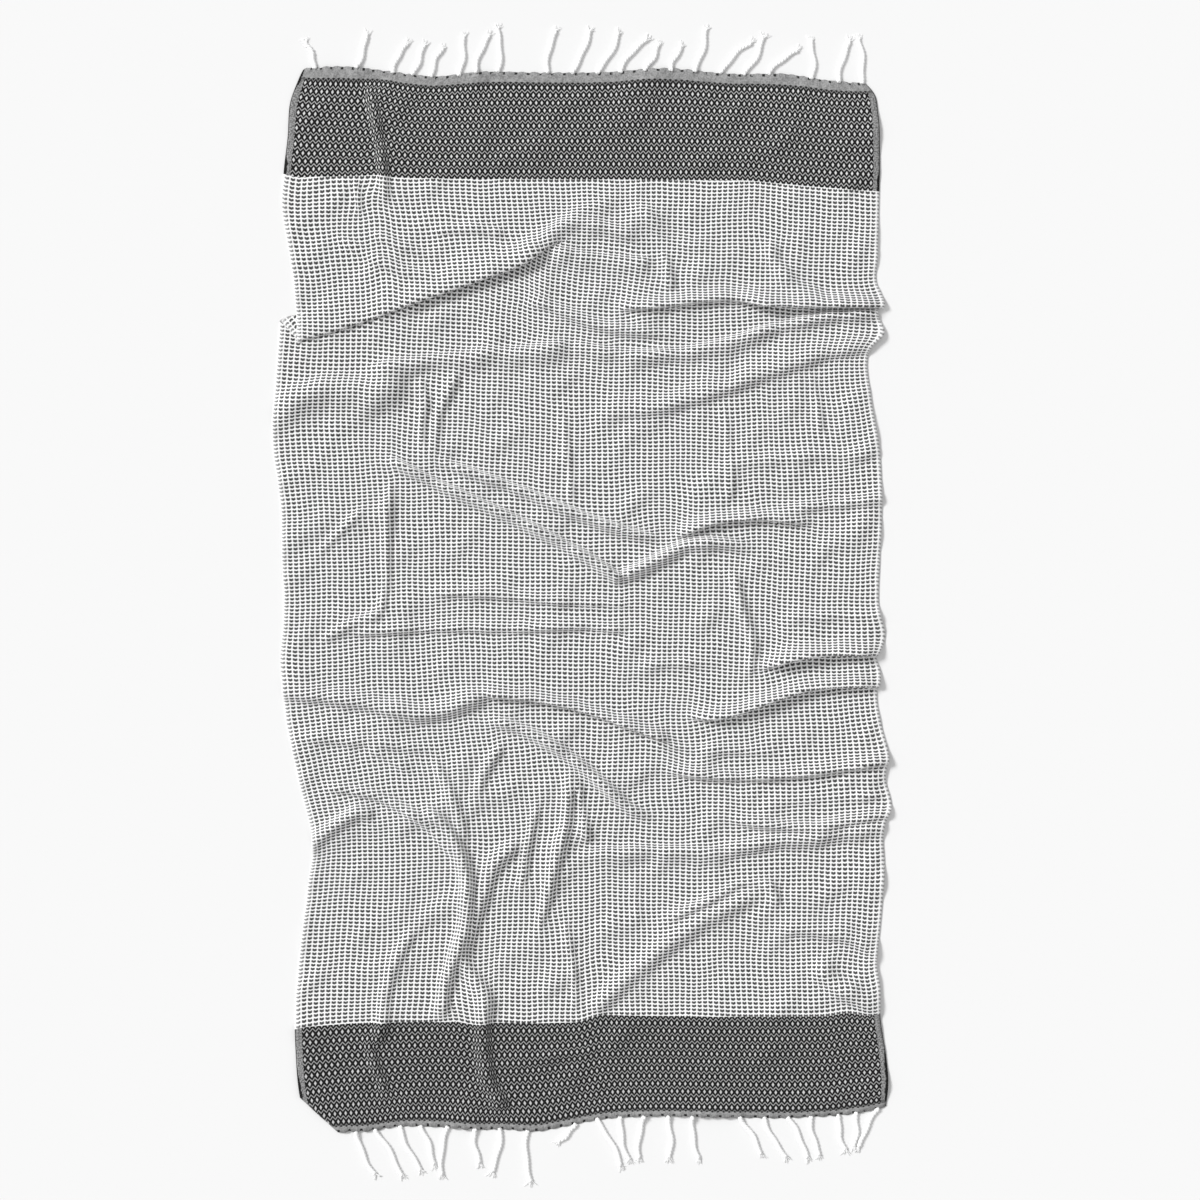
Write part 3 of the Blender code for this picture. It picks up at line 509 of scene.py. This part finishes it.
def turned_corner(points):
    """The foot's left corner rolled under along a diagonal."""
    n = CORNER_CELLS
    start, end = points[n, 0, :2].copy(), points[0, n, :2].copy()
    for k in range(n + 1):
        points[n - k, k, :2] = start + (end - start) * k / n
    along = (end - start) / np.linalg.norm(end - start)
    outward = np.array([along[1], -along[0]])
    if outward.sum() > 0:
        outward = -outward
    beyond = (points[:, :, :2] - start) @ outward
    side = (points[:, :, :2] - start) @ along
    near = 1 - eased((np.abs(side - CREASE_MIDDLE) - CREASE_REACH) / CREASE_FADE)
    lift = LAYER * (1 - eased((-beyond - FLAP_LIFTED) / FLAP_FADE)) * near
    j, i = np.indices(beyond.shape)
    flap = (i + j < n) & (i < n) & (j < n)
    crease = (i + j == n) & (i <= n) & (j <= n)
    lift[flap] = 0.0
    lift[crease] = LAYER / 2
    points[flap, :2] -= 2 * beyond[flap][:, None] * outward
    points[flap, 2] = 0.0
    points[:, :, 2] = np.maximum(points[:, :, 2], lift)
    return points


def modes(size, held):
    """Natural shapes and stiffnesses of a row of points joined by equal springs."""
    springs = 2 * np.eye(size) - np.eye(size, k=1) - np.eye(size, k=-1)
    if not held:
        springs[0, 0] = springs[-1, -1] = 1
    return np.linalg.eigh(springs)


def settled(across, along, size):
    """A value at every grid point, 0 down the first column and size down the last, whose
    steps across and along the grid come nearest to those asked for."""
    rows, columns = along.shape[0] + 1, along.shape[1]
    plain = np.linspace(0, size, columns)
    across = across - size / (columns - 1)
    force = np.zeros((rows, columns))
    force[:, 1:] += across
    force[:, :-1] -= across
    force[1:] += along
    force[:-1] -= along
    stiff_j, shape_j = modes(rows, False)
    stiff_i, shape_i = modes(columns - 2, True)
    moved = shape_j.T @ force[:, 1:-1] @ shape_i / (stiff_j[:, None] + stiff_i[None])
    value = np.tile(plain, (rows, 1))
    value[:, 1:-1] += shape_j @ moved @ shape_i.T
    return value


def shared_out(points, axis):
    """Lengths of the grid's steps along each row or column. All rows come out equally
    long: where one falls short, its folds are taken to hold the rest."""
    step = np.diff(points, axis=axis)
    real = np.linalg.norm(step, axis=2)
    folded = real - np.linalg.norm(step[:, :, :2], axis=2) + 0.004 * real
    total = real.sum(axis=axis, keepdims=True)
    goal = np.percentile(total, 80)
    share = folded / folded.sum(axis=axis, keepdims=True)
    return real + (goal - total) * share, goal


def cloth_measure(points):
    """The cloth's own width and length at each point, in metres from the foot's left
    corner: the flat cloth that takes the least stretching to lie as it does."""
    across, along = np.diff(points, axis=1), np.diff(points, axis=0)
    long_a, width = shared_out(points, 1)
    long_b, length = shared_out(points, 0)
    across /= np.linalg.norm(across, axis=2, keepdims=True)
    along /= np.linalg.norm(along, axis=2, keepdims=True)
    lean = (across[1:] + across[:-1]) * (along[:, 1:] + along[:, :-1]) / 4
    lean = np.clip(lean.sum(axis=2), -0.9, 0.9)
    cell_a = (long_a[1:] + long_a[:-1]) / 2 + 0j
    cell_b = (long_b[:, 1:] + long_b[:, :-1]) / 2 * (lean + 1j * np.sqrt(1 - lean**2))
    plan = across[:-1, :, :2] + across[1:, :, :2], along[:, :-1, :2] + along[:, 1:, :2]
    level = np.abs(plan[0][..., 0] * plan[1][..., 1] - plan[0][..., 1] * plan[1][..., 0]) / 4
    give = 0.5 * np.clip((1 - level) * 7 - 0.05, 0, 1)  # steep places take up the misfit

    def edges(cells, axis):
        """From a value in each cell to one on each grid line between them."""
        first, last = np.take(cells, [0], axis), np.take(cells, [-1], axis)
        return (np.concatenate([first, cells], axis) + np.concatenate([cells, last], axis)) / 2

    goal_a, goal_b = cell_a, cell_b
    for _ in range(40):
        step_a, step_b = edges(goal_a, 0), edges(goal_b, 1)
        u = settled(step_a.real, step_b.real, width)
        v = settled(step_b.imag.T, step_a.imag.T, length).T
        flat = u + 1j * v
        flat_a, flat_b = np.diff(flat, axis=1), np.diff(flat, axis=0)
        flat_a, flat_b = (flat_a[1:] + flat_a[:-1]) / 2, (flat_b[:, 1:] + flat_b[:, :-1]) / 2
        turn = flat_a * cell_a.conj() + flat_b * cell_b.conj()
        turn /= np.maximum(np.abs(turn), 1e-12)
        goal_a = cell_a * turn * (1 - give) + flat_a * give
        goal_b = cell_b * turn * (1 - give) + flat_b * give
    return np.dstack([u, bands_placed(points, v, length)]), width, length


def bands_placed(points, v, length):
    """Ease the weave along the cloth so that each band ends on its own line."""
    x, y = points[:, :, 0], points[:, :, 1]
    shifts = []
    for line, wanted, from_head in ((FOOT_LINE, FOOT_BAND, False),
                                    (HEAD_LINE, length - HEAD_BAND, True)):  # fmt: skip
        line = np.array(line)
        above = y > np.interp(x, line[:, 0], line[:, 1])
        if from_head:
            row = len(y) - 1 - np.argmax(~above[::-1], axis=0)
        else:
            row = np.argmax(above, axis=0) - 1
        columns = np.arange(y.shape[1])
        gap = y - np.interp(x, line[:, 0], line[:, 1])
        low, high = gap[row, columns], gap[row + 1, columns]
        share = np.clip(-low / np.maximum(high - low, 1e-9), 0, 1)
        here = v[row, columns] * (1 - share) + v[row + 1, columns] * share
        for _ in range(3):
            here[1:-1] = (here[:-2] + 2 * here[1:-1] + here[2:]) / 4
        shifts.append((here, wanted - here))
    (foot, foot_shift), (head, head_shift) = shifts
    placed = v.copy()
    placed += foot_shift * np.where(v < foot, v / foot, eased(1 - (v - foot) / BAND_EASE))
    placed += head_shift * np.where(v > head, (length - v) / (length - head),
                                    eased(1 - (head - v) / BAND_EASE))  # fmt: skip
    return placed


def scalloped(points, flat):
    """The hems' edges swell a little between the stitches that hold them."""
    for row, after, outward in ((0, 1, -1), (-1, -2, 1)):
        first = CORNER_CELLS + 1 if row == 0 else 0
        swell = np.abs(np.sin(math.pi * flat[row, first:, 0] / STITCHES)) ** 0.7 - 0.6
        points[row, first:, 1] += outward * SCALLOP * swell
        points[after, first:, 1] += outward * SCALLOP_INSIDE * swell
    return points


def surface_normals(points):
    """The way the cloth's upper face looks at each grid point."""
    across = np.gradient(points, axis=1)
    along = np.gradient(points, axis=0)
    normal = np.cross(across, along)
    return normal / np.maximum(np.linalg.norm(normal, axis=2, keepdims=True), 1e-12)


def new_piece(name, points, faces, material, uv=None):
    """A smooth object of these points and faces, with the flat cloth's places as its UV."""
    mesh = bpy.data.meshes.new(name)
    mesh.from_pydata([tuple(p) for p in points], [], faces)
    mesh.materials.append(material)
    if uv is not None:
        layer = mesh.uv_layers.new(name="cloth")
        index = np.empty(len(mesh.loops), np.int32)
        mesh.loops.foreach_get("vertex_index", index)
        layer.data.foreach_set("uv", np.asarray(uv, np.float32)[index].ravel())
    mesh.shade_smooth()
    obj = bpy.data.objects.new(name, mesh)
    bpy.context.scene.collection.objects.link(obj)
    return obj


def cloth_piece(name, middle, flat, material):
    """One closed sheet: the upper face, an underside of every second point, and edges."""
    normal = surface_normals(middle)
    centre = middle + np.array([0, 0, CLOTH / 2])
    top = centre + normal * CLOTH / 2
    bottom = centre - normal * CLOTH / 2
    single = normal[:, :, 2] > 0.5
    lowest = bottom[:, :, 2].copy()
    for dj in (-1, 0, 1):
        for di in (-1, 0, 1):
            lowest = np.minimum(lowest, np.roll(bottom[:, :, 2], (dj, di), (0, 1)))
    bottom[1:-1, 1:-1, 2] = np.where(single, lowest, bottom[:, :, 2])[1:-1, 1:-1]
    for surface in (top, bottom):
        surface[:, :, 2] = np.maximum(surface[:, :, 2], 0.0)
        surface[:, :, 0] -= CENTRE[0]
        surface[:, :, 1] -= CENTRE[1]
    under = bottom[::2, ::2]
    points = np.vstack([top.reshape(-1, 3), under.reshape(-1, 3)])
    faces = grid_faces(*top.shape[:2], CORNER_CELLS, 0, False)
    first = top.shape[0] * top.shape[1]
    faces += grid_faces(*under.shape[:2], CORNER_CELLS // 2, first, True)
    above, below = grid_rim(*top.shape[:2], 0), grid_rim(*under.shape[:2], first)
    for k, here in enumerate(below):
        after = below[(k + 1) % len(below)]
        ahead = above[(2 * k + 2) % len(above)]
        faces.append((here, after, ahead, above[2 * k + 1], above[2 * k]))
    uv = np.vstack([flat.reshape(-1, 2), flat[::2, ::2].reshape(-1, 2)])
    return new_piece(name, points, faces, material, uv), top, bottom


def grid_faces(rows, columns, corner, first, flipped):
    """Four-sided cells, but two triangles each where the corner is turned under."""
    faces = []
    for j in range(rows - 1):
        for i in range(columns - 1):
            a = first + j * columns + i
            b, c, d = a + 1, a + columns + 1, a + columns
            faces += [(a, b, d), (b, c, d)] if i + j < corner else [(a, b, c, d)]
    return [face[::-1] for face in faces] if flipped else faces


def grid_rim(rows, columns, first):
    """The grid's outer points in order, once round."""
    rim = [j * columns for j in range(rows - 1, 0, -1)]
    rim += list(range(columns - 1))
    rim += [j * columns + columns - 1 for j in range(rows - 1)]
    rim += [(rows - 1) * columns + i for i in range(columns - 1, 0, -1)]
    return [first + k for k in rim]


# ---------------------------------------------------------------- cords
def tube(path, radii, sides):
    """Points and faces of a closed round tube along the path."""
    path = np.asarray(path, float)
    tangent = np.gradient(path, axis=0)
    tangent /= np.linalg.norm(tangent, axis=1, keepdims=True)
    up = np.array([0.0, 0.0, 1.0])
    across = np.cross(tangent, up)
    across /= np.maximum(np.linalg.norm(across, axis=1, keepdims=True), 1e-9)
    over = np.cross(across, tangent)
    points, faces = [], []
    for k, (p, r) in enumerate(zip(path, radii)):
        for s in range(sides):
            a = 2 * math.pi * s / sides
            points.append(p + r * (math.cos(a) * across[k] + math.sin(a) * over[k]))
    for k in range(len(path) - 1):
        for s in range(sides):
            a, b = k * sides + s, k * sides + (s + 1) % sides
            faces.append((a, b, b + sides, a + sides))
    faces.append(tuple(reversed(range(sides))))
    faces.append(tuple((len(path) - 1) * sides + s for s in range(sides)))
    return points, faces


def cord_points(base, tip, bow, lift, chance):
    """Two yarns twisted round each other from the hem to a frayed end on the floor."""
    base, tip = np.array(base), np.array(tip)
    length = np.linalg.norm(tip - base)
    way = (tip - base) / length
    across = np.array([way[1], -way[0]])
    t = np.linspace(0, 1, CORD_STATIONS)
    wave = bow * np.sin(np.pi * t) + 0.0012 * np.sin(2 * np.pi * t * 1.5 + chance.uniform(0, 6))
    plan = base + np.outer(t, tip - base) + np.outer(wave, across)
    radius = YARN_RADIUS * (1 - 0.08 * t)
    raised = lift * (1 - eased(t / 0.2))
    middle = np.column_stack([plan, raised + radius * 1.68])
    tangent = np.gradient(middle, axis=0)
    tangent /= np.linalg.norm(tangent, axis=1, keepdims=True)
    side = np.cross(tangent, [0, 0, 1.0])
    over = np.cross(side, tangent)
    pieces = []
    start = chance.uniform(0, 2 * math.pi)
    for yarn in (0, math.pi):
        angle = start + yarn + 2 * math.pi * t * length / YARN_TURN
        off = np.cos(angle)[:, None] * side + np.sin(angle)[:, None] * over
        points, faces = tube(middle + YARN_OFF_MIDDLE * off, radius, YARN_SIDES)
        for k, point in enumerate(points):
            under = raised[k // YARN_SIDES]
            point[2] = under + (point[2] - under) * CORD_FLATTENED
        pieces.append((points, faces))
    for _ in range(LOOSE_ENDS):
        spread = chance.uniform(-0.75, 0.75)
        out = chance.uniform(0.005, 0.012)
        s = np.linspace(0, 1, 5)
        direction = way * math.cos(spread) + across * math.sin(spread)
        root = middle[-2] + np.array([*(across * chance.uniform(-1, 1) * 0.0012), 0])
        root[2] *= CORD_FLATTENED
        path = root + np.outer(s * out, [*direction, 0])
        path[:, :2] += np.outer(chance.uniform(-0.003, 0.003) * s**2, across)
        path[:, 2] = np.maximum(root[2] * (1 - s * 0.7), 0.0005) + chance.uniform(0, 0.0006)
        pieces.append(tube(path, LOOSE_END_RADIUS * (1 - 0.6 * s), 4))
    return pieces


def joined(pieces):
    """Many pieces' points and faces as one list of each."""
    points, faces = [], []
    for more, rings in pieces:
        faces += [tuple(len(points) + k for k in ring) for ring in rings]
        points += [tuple(p) for p in more]
    return points, faces


def fringe_piece(name, top_edge, bottom_edge, tassels, outward, material, seed):
    """One end's cords, each from where it leaves the hem's edge."""
    x = (top_edge[:, 0] + bottom_edge[:, 0]) / 2
    y = (top_edge[:, 1] + bottom_edge[:, 1]) / 2
    z = bottom_edge[:, 2]
    order = np.argsort(x)
    x, y, z = x[order], y[order], z[order]
    chance = np.random.default_rng(seed)
    pieces = []
    for start, over, out, bow in tassels:
        start -= CENTRE[0]
        leave = np.interp(start, x, y) - outward * 0.0010
        lift = np.interp(start, x, z)
        tip = (start + over, leave + outward * (out + 0.001))
        pieces += cord_points((start, leave), tip, bow, lift, chance)
    return new_piece(name, *joined(pieces), material)


# ---------------------------------------------------------------- materials
class Sum:
    """A value in a material, so that sums read as sums."""

    def __init__(self, tree, socket):
        self.tree, self.socket = tree, socket

    def node(self, operation, *others):
        made = self.tree.nodes.new("ShaderNodeMath")
        made.operation = operation
        for slot, value in zip(made.inputs, (self, *others)):
            if isinstance(value, Sum):
                self.tree.links.new(value.socket, slot)
            else:
                slot.default_value = value
        return Sum(self.tree, made.outputs[0])

    def __add__(self, other):
        return self.node("ADD", other)

    def __radd__(self, other):
        return self.node("ADD", other)

    def __sub__(self, other):
        return self.node("SUBTRACT", other)

    def __rsub__(self, other):
        return (self * -1) + other

    def __mul__(self, other):
        return self.node("MULTIPLY", other)

    def __truediv__(self, other):
        return self.node("DIVIDE", other)

    def __abs__(self):
        return self.node("ABSOLUTE")

    def floor(self):
        return self.node("FLOOR")

    def least(self, other):
        return self.node("MINIMUM", other)

    def most(self, other):
        return self.node("MAXIMUM", other)

    def over(self, edge, soft):
        """0 below the edge and 1 above it, with a soft step of this width."""
        made = self.tree.nodes.new("ShaderNodeMapRange")
        made.interpolation_type = "SMOOTHSTEP"
        self.tree.links.new(self.socket, made.inputs[0])
        for slot, value in zip(list(made.inputs)[1:3], (-soft / 2, soft / 2)):
            if isinstance(edge, Sum):
                self.tree.links.new((edge + value).socket, slot)
            else:
                slot.default_value = edge + value
        return Sum(self.tree, made.outputs[0])

    def under(self, edge, soft):
        return 1 - self.over(edge, soft)

    def within(self):
        """From -0.5 to 0.5 across each repeat."""
        return self - self.floor() - 0.5


def mixed(tree, share, low, high):
    """Between two tones, or between what other nodes give."""
    made = tree.nodes.new("ShaderNodeMix")
    made.data_type = "RGBA"
    tree.links.new(share.socket, made.inputs["Factor"])
    for slot, value in ((made.inputs[6], low), (made.inputs[7], high)):
        if isinstance(value, Sum):
            tree.links.new(value.socket, slot)
        else:
            slot.default_value = (value, value, value, 1)
    return Sum(tree, made.outputs[2])


def uneven_cotton():
    """The unevenness of spun and woven cotton, as a group that both materials use."""
    group = bpy.data.node_groups.new("uneven_cotton", "ShaderNodeTree")
    sockets = group.interface
    sockets.new_socket("Place", in_out="INPUT", socket_type="NodeSocketVector")
    sockets.new_socket("Fineness", in_out="INPUT", socket_type="NodeSocketFloat")
    sockets.new_socket("Detail", in_out="INPUT", socket_type="NodeSocketFloat")
    sockets.new_socket("Unevenness", in_out="OUTPUT", socket_type="NodeSocketFloat")
    given = group.nodes.new("NodeGroupInput").outputs
    noise = group.nodes.new("ShaderNodeTexNoise")
    result = group.nodes.new("NodeGroupOutput").inputs
    group.links.new(given["Place"], noise.inputs["Vector"])
    group.links.new(given["Fineness"], noise.inputs["Scale"])
    group.links.new(given["Detail"], noise.inputs["Detail"])
    group.links.new(noise.outputs["Fac"], result["Unevenness"])
    return group


def grain(tree, place, fineness, detail=2.0):
    """The cotton's unevenness, about 0.5, where a greater fineness makes it smaller."""
    made = tree.nodes.new("ShaderNodeGroup")
    made.node_tree = bpy.data.node_groups.get("uneven_cotton") or uneven_cotton()
    made.inputs["Fineness"].default_value = fineness
    made.inputs["Detail"].default_value = detail
    tree.links.new(place, made.inputs["Place"])
    return Sum(tree, made.outputs["Unevenness"])


def blank_material(name, roughness):
    """A dull cloth-like finish with no colour yet."""
    material = bpy.data.materials.new(name)
    material.use_nodes = True
    shader = material.node_tree.nodes["Principled BSDF"]
    shader.inputs["Roughness"].default_value = roughness
    shader.inputs["Specular IOR Level"].default_value = 0.15
    shader.inputs["Sheen Weight"].default_value = 0.15
    shader.inputs["Sheen Roughness"].default_value = 0.5
    return material, material.node_tree, shader


def finish_cotton(tree, shader, colour, height, depth, strength):
    """Colour the cotton, and raise its threads."""
    bump = tree.nodes.new("ShaderNodeBump")
    bump.inputs["Distance"].default_value = depth
    bump.inputs["Strength"].default_value = strength
    tree.links.new(height.socket, bump.inputs["Height"])
    tree.links.new(colour.socket, shader.inputs["Base Color"])
    tree.links.new(bump.outputs[0], shader.inputs["Normal"])


def cloth_places(tree, width, length):
    """How far in the flat cloth each place lies from the edges, in metres, and how uneven
    its cotton is there."""
    coordinates = tree.nodes.new("ShaderNodeUVMap")
    coordinates.uv_map = "cloth"
    place = coordinates.outputs[0]
    split = tree.nodes.new("ShaderNodeSeparateXYZ")
    tree.links.new(place, split.inputs[0])
    u, v = Sum(tree, split.outputs[0]), Sum(tree, split.outputs[1])
    from_head = length - v
    return SimpleNamespace(
        u=u, v=v, from_head=from_head, side=u.least(width - u), end=v.least(from_head),
        at_left=u.under(width / 2, 0.1), at_foot=v.under(length / 2, 0.1),
        wander=grain(tree, place, 38.0) - 0.5, drift=grain(tree, place, 11.0, 1.0) - 0.5,
        uneven=grain(tree, place, 420.0, 1.0), patchy=grain(tree, place, 130.0, 3.0),
    )  # fmt: skip


def steepness(tree):
    """0 where the cloth lies level, up to 1 where it stands steeply."""
    facing = tree.nodes.new("ShaderNodeNewGeometry")
    split = tree.nodes.new("ShaderNodeSeparateXYZ")
    tree.links.new(facing.outputs["Normal"], split.inputs[0])
    return Sum(tree, split.outputs[2]).under(0.62, 0.30)


def field_weave(tree, spot, length):
    """Dark dashes, notched above and pointed below, in rows of white ribs."""
    field_length = length - FOOT_BAND - HEAD_BAND
    pitch = field_length / round(field_length / DASH_ALONG)
    across = (spot.u + spot.wander * 0.0018 - spot.drift * 0.006) / DASH_ACROSS
    along = (spot.v - FOOT_BAND + spot.wander * 0.0012 + spot.drift * 0.010) / pitch
    cx, cy = across.within(), along.within()
    ax, rib = abs(cx), abs(cy)
    inward = spot.side.over(SELVEDGE, 2 * SELVEDGE)  # the dashes fade out over the selvedge
    upper = cy.under(0.33 - (ax.under(0.08, 0.16)) * 0.15 - (1 - inward) * 0.12, 0.14)
    lower = cy.over(ax * 0.55 - 0.42 + (1 - inward) * 0.10, 0.14)
    # where the cloth stands steeply, its raised ribs hide part of each dash
    dash = upper * lower * ax.under(0.37, 0.10) * (1 - steepness(tree) * 0.35)
    white = mixed(tree, rib.under(0.22, 0.24), RIB_WHITE, RIB_SHADED)
    black = mixed(tree, spot.uneven.over(0.5, 0.5), DASH_BLACK, DASH_GREY)
    colour = mixed(tree, dash, white, mixed(tree, inward, SELVEDGE_DASH, black))
    return colour, (1 - dash) * (1 - rib * 0.8)


def band_weave(tree, spot):
    """Pale dots in black diamonds, with a pale zigzag between the rows."""
    first = FIRST_HEAD + spot.at_foot * (FIRST_FOOT - FIRST_HEAD)
    row = (spot.end - first) / DIAMOND_ALONG + 0.5
    from_row = abs(row.within())
    shifted = (spot.u + spot.wander * 0.0014) / DIAMOND_ACROSS + row.floor() * 0.5
    from_dot = abs(shifted.within())
    dot = (from_dot * 2.3 + from_row * 1.9).under(0.56, 0.20)
    zigzag = abs(from_row - 0.5 - (1 - from_dot * 4) * 0.19).under(0.072, 0.08)
    thread = dot.most(zigzag * 0.66)
    thread = thread * (0.76 + spot.uneven * 0.38 - spot.at_foot * 0.15)
    diamonds = mixed(tree, thread, BAND_BLACK, BAND_WHITE)
    plain = mixed(tree, spot.uneven.over(0.5, 0.4), BAND_SELVEDGE_DARK, BAND_SELVEDGE_PALE)
    colour = mixed(tree, spot.side.under(BAND_SELVEDGE, 0.0014), diamonds, plain)
    return colour, thread * 0.5, from_dot


def hemmed(tree, spot, colour, teeth):
    """Mottled grey hems with a toothed inner edge and dark stitches at the outer one."""
    depth = HEAD_HEM_DEPTH + spot.at_foot * (FOOT_HEM_DEPTH - HEAD_HEM_DEPTH)
    hem = spot.end.under(depth - 0.0008 + teeth * 0.0042, 0.0008)
    mottle = (spot.uneven * 0.5 + spot.patchy * 0.5).over(0.5, 0.34)
    from_stitch = abs((spot.u / STITCHES + 0.5).within()) * STITCHES
    stitch = from_stitch.under(0.0022, 0.0012) * spot.end.under(0.0034, 0.0014)
    stitch = stitch * spot.patchy.over(0.42, 0.10)
    grey = mixed(tree, stitch.least(1), mixed(tree, mottle, HEM_DARK, HEM_PALE), STITCH_BLACK)
    beside_hem = spot.end.under(depth + 0.0050, 0.0030) * 0.55
    return mixed(tree, hem, mixed(tree, beside_hem, colour, HEM_SHADE), grey)


def selvedge_rolled(tree, spot, colour, band):
    """The dark back of the selvedge rolls into sight here and there along the bands."""
    head = spot.from_head.under(0.030, 0.024) * spot.at_left
    head = head + spot.from_head.over(0.138, 0.02) * 0.8
    foot = spot.v.under(0.085, 0.03) * spot.v.over(0.012, 0.01) * 0.8
    roll = head + spot.at_foot * (foot - head)
    rolled = spot.side.under(0.0010 + roll * spot.patchy * 0.0075, 0.0010) * band
    return mixed(tree, rolled, colour, BACK_BLACK)


def woven_cotton(width, length):
    """The whole cloth's weave, from the flat cloth's width and length in metres."""
    material, tree, shader = blank_material("woven_cotton", 0.9)
    spot = cloth_places(tree, width, length)
    band = spot.v.under(FOOT_BAND, 0.0006).most(spot.from_head.under(HEAD_BAND, 0.0006))
    field, field_height = field_weave(tree, spot, length)
    diamonds, diamonds_height, teeth = band_weave(tree, spot)
    colour = hemmed(tree, spot, mixed(tree, band, field, diamonds), teeth)
    colour = selvedge_rolled(tree, spot, colour, band)
    height = field_height * (1 - band) + band * diamonds_height + spot.uneven * 0.3
    finish_cotton(tree, shader, colour, height, 0.0005, 0.5)
    return material


def cord_cotton():
    """White cotton with little but its own unevenness."""
    material, tree, shader = blank_material("white_cotton_cord", 0.85)
    place = tree.nodes.new("ShaderNodeTexCoord")
    uneven = grain(tree, place.outputs["Object"], 900.0)
    colour = mixed(tree, uneven, CORD_WHITE, CORD_BRIGHT)
    finish_cotton(tree, shader, colour, uneven, 0.0004, 1.0)
    return material


# ---------------------------------------------------------------- build
middle = cloth_middle()
flat, flat_width, flat_length = cloth_measure(middle)
middle = scalloped(middle, flat)
print("flat size", round(flat_width, 4), round(flat_length, 4), "rows", middle.shape)
woven = woven_cotton(flat_width, flat_length)
cord = cord_cotton()
cloth, top, bottom = cloth_piece("woven_towel", middle, flat, woven)
foot = fringe_piece("foot_cords", top[0, CORNER_CELLS:], bottom[0, CORNER_CELLS:],
                    FOOT_TASSELS, -1, cord, 11)  # fmt: skip
head = fringe_piece("head_cords", top[-1], bottom[-1], HEAD_TASSELS, 1, cord, 12)

for piece, node, slot in (
    (cloth, "towel_cloth", "woven_cloth"),
    (foot, "fringe_foot", "fringe_cord"),
    (head, "fringe_head", "fringe_cord"),
):
    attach(piece, "root")
    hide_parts(node)

# ---------------------------------------------------------------- floor, light, camera
floor_mesh = bpy.data.meshes.new("studio_floor")
floor_corners = [(x * FLOOR_REACH, y * FLOOR_REACH, 0)
                 for x, y in ((-1, -1), (1, -1), (1, 1), (-1, 1))]  # fmt: skip
floor_mesh.from_pydata(floor_corners, [], [(0, 1, 2, 3)])
floor = bpy.data.objects.new("studio_floor", floor_mesh)
bpy.context.scene.collection.objects.link(floor)
floor.location.z = -0.0002
paper, _, shader = blank_material("white_paper", 0.95)
shader.inputs["Base Color"].default_value = (PAPER_TONE, PAPER_TONE, PAPER_TONE, 1)
shader.inputs["Sheen Weight"].default_value = 0
floor_mesh.materials.append(paper)

sun = bpy.data.lights.new("window_light", "SUN")
sun.angle, sun.energy = WINDOW_SPREAD, WINDOW_POWER
window = bpy.data.objects.new("window_light", sun)
bpy.context.scene.collection.objects.link(window)
window.location = WINDOW
window.rotation_euler = (-Vector(WINDOW)).to_track_quat("-Z", "Y").to_euler()

world = bpy.data.worlds.new("soft_room")
world.use_nodes = True
world.node_tree.nodes["Background"].inputs["Color"].default_value = (1, 1, 1, 1)
world.node_tree.nodes["Background"].inputs["Strength"].default_value = ROOM_LIGHT
bpy.context.scene.world = world
bpy.context.scene.view_settings.view_transform = "Standard"

camera = bpy.data.objects.new("camera", bpy.data.cameras.new("camera"))
bpy.context.scene.collection.objects.link(camera)
camera.data.lens = 80
camera.data.sensor_width = 36
camera.location = (CAMERA_OVER[0] - CENTRE[0], CAMERA_OVER[1] - CENTRE[1], CAMERA_HEIGHT)
camera.data.clip_end = 50
bpy.context.scene.camera = camera
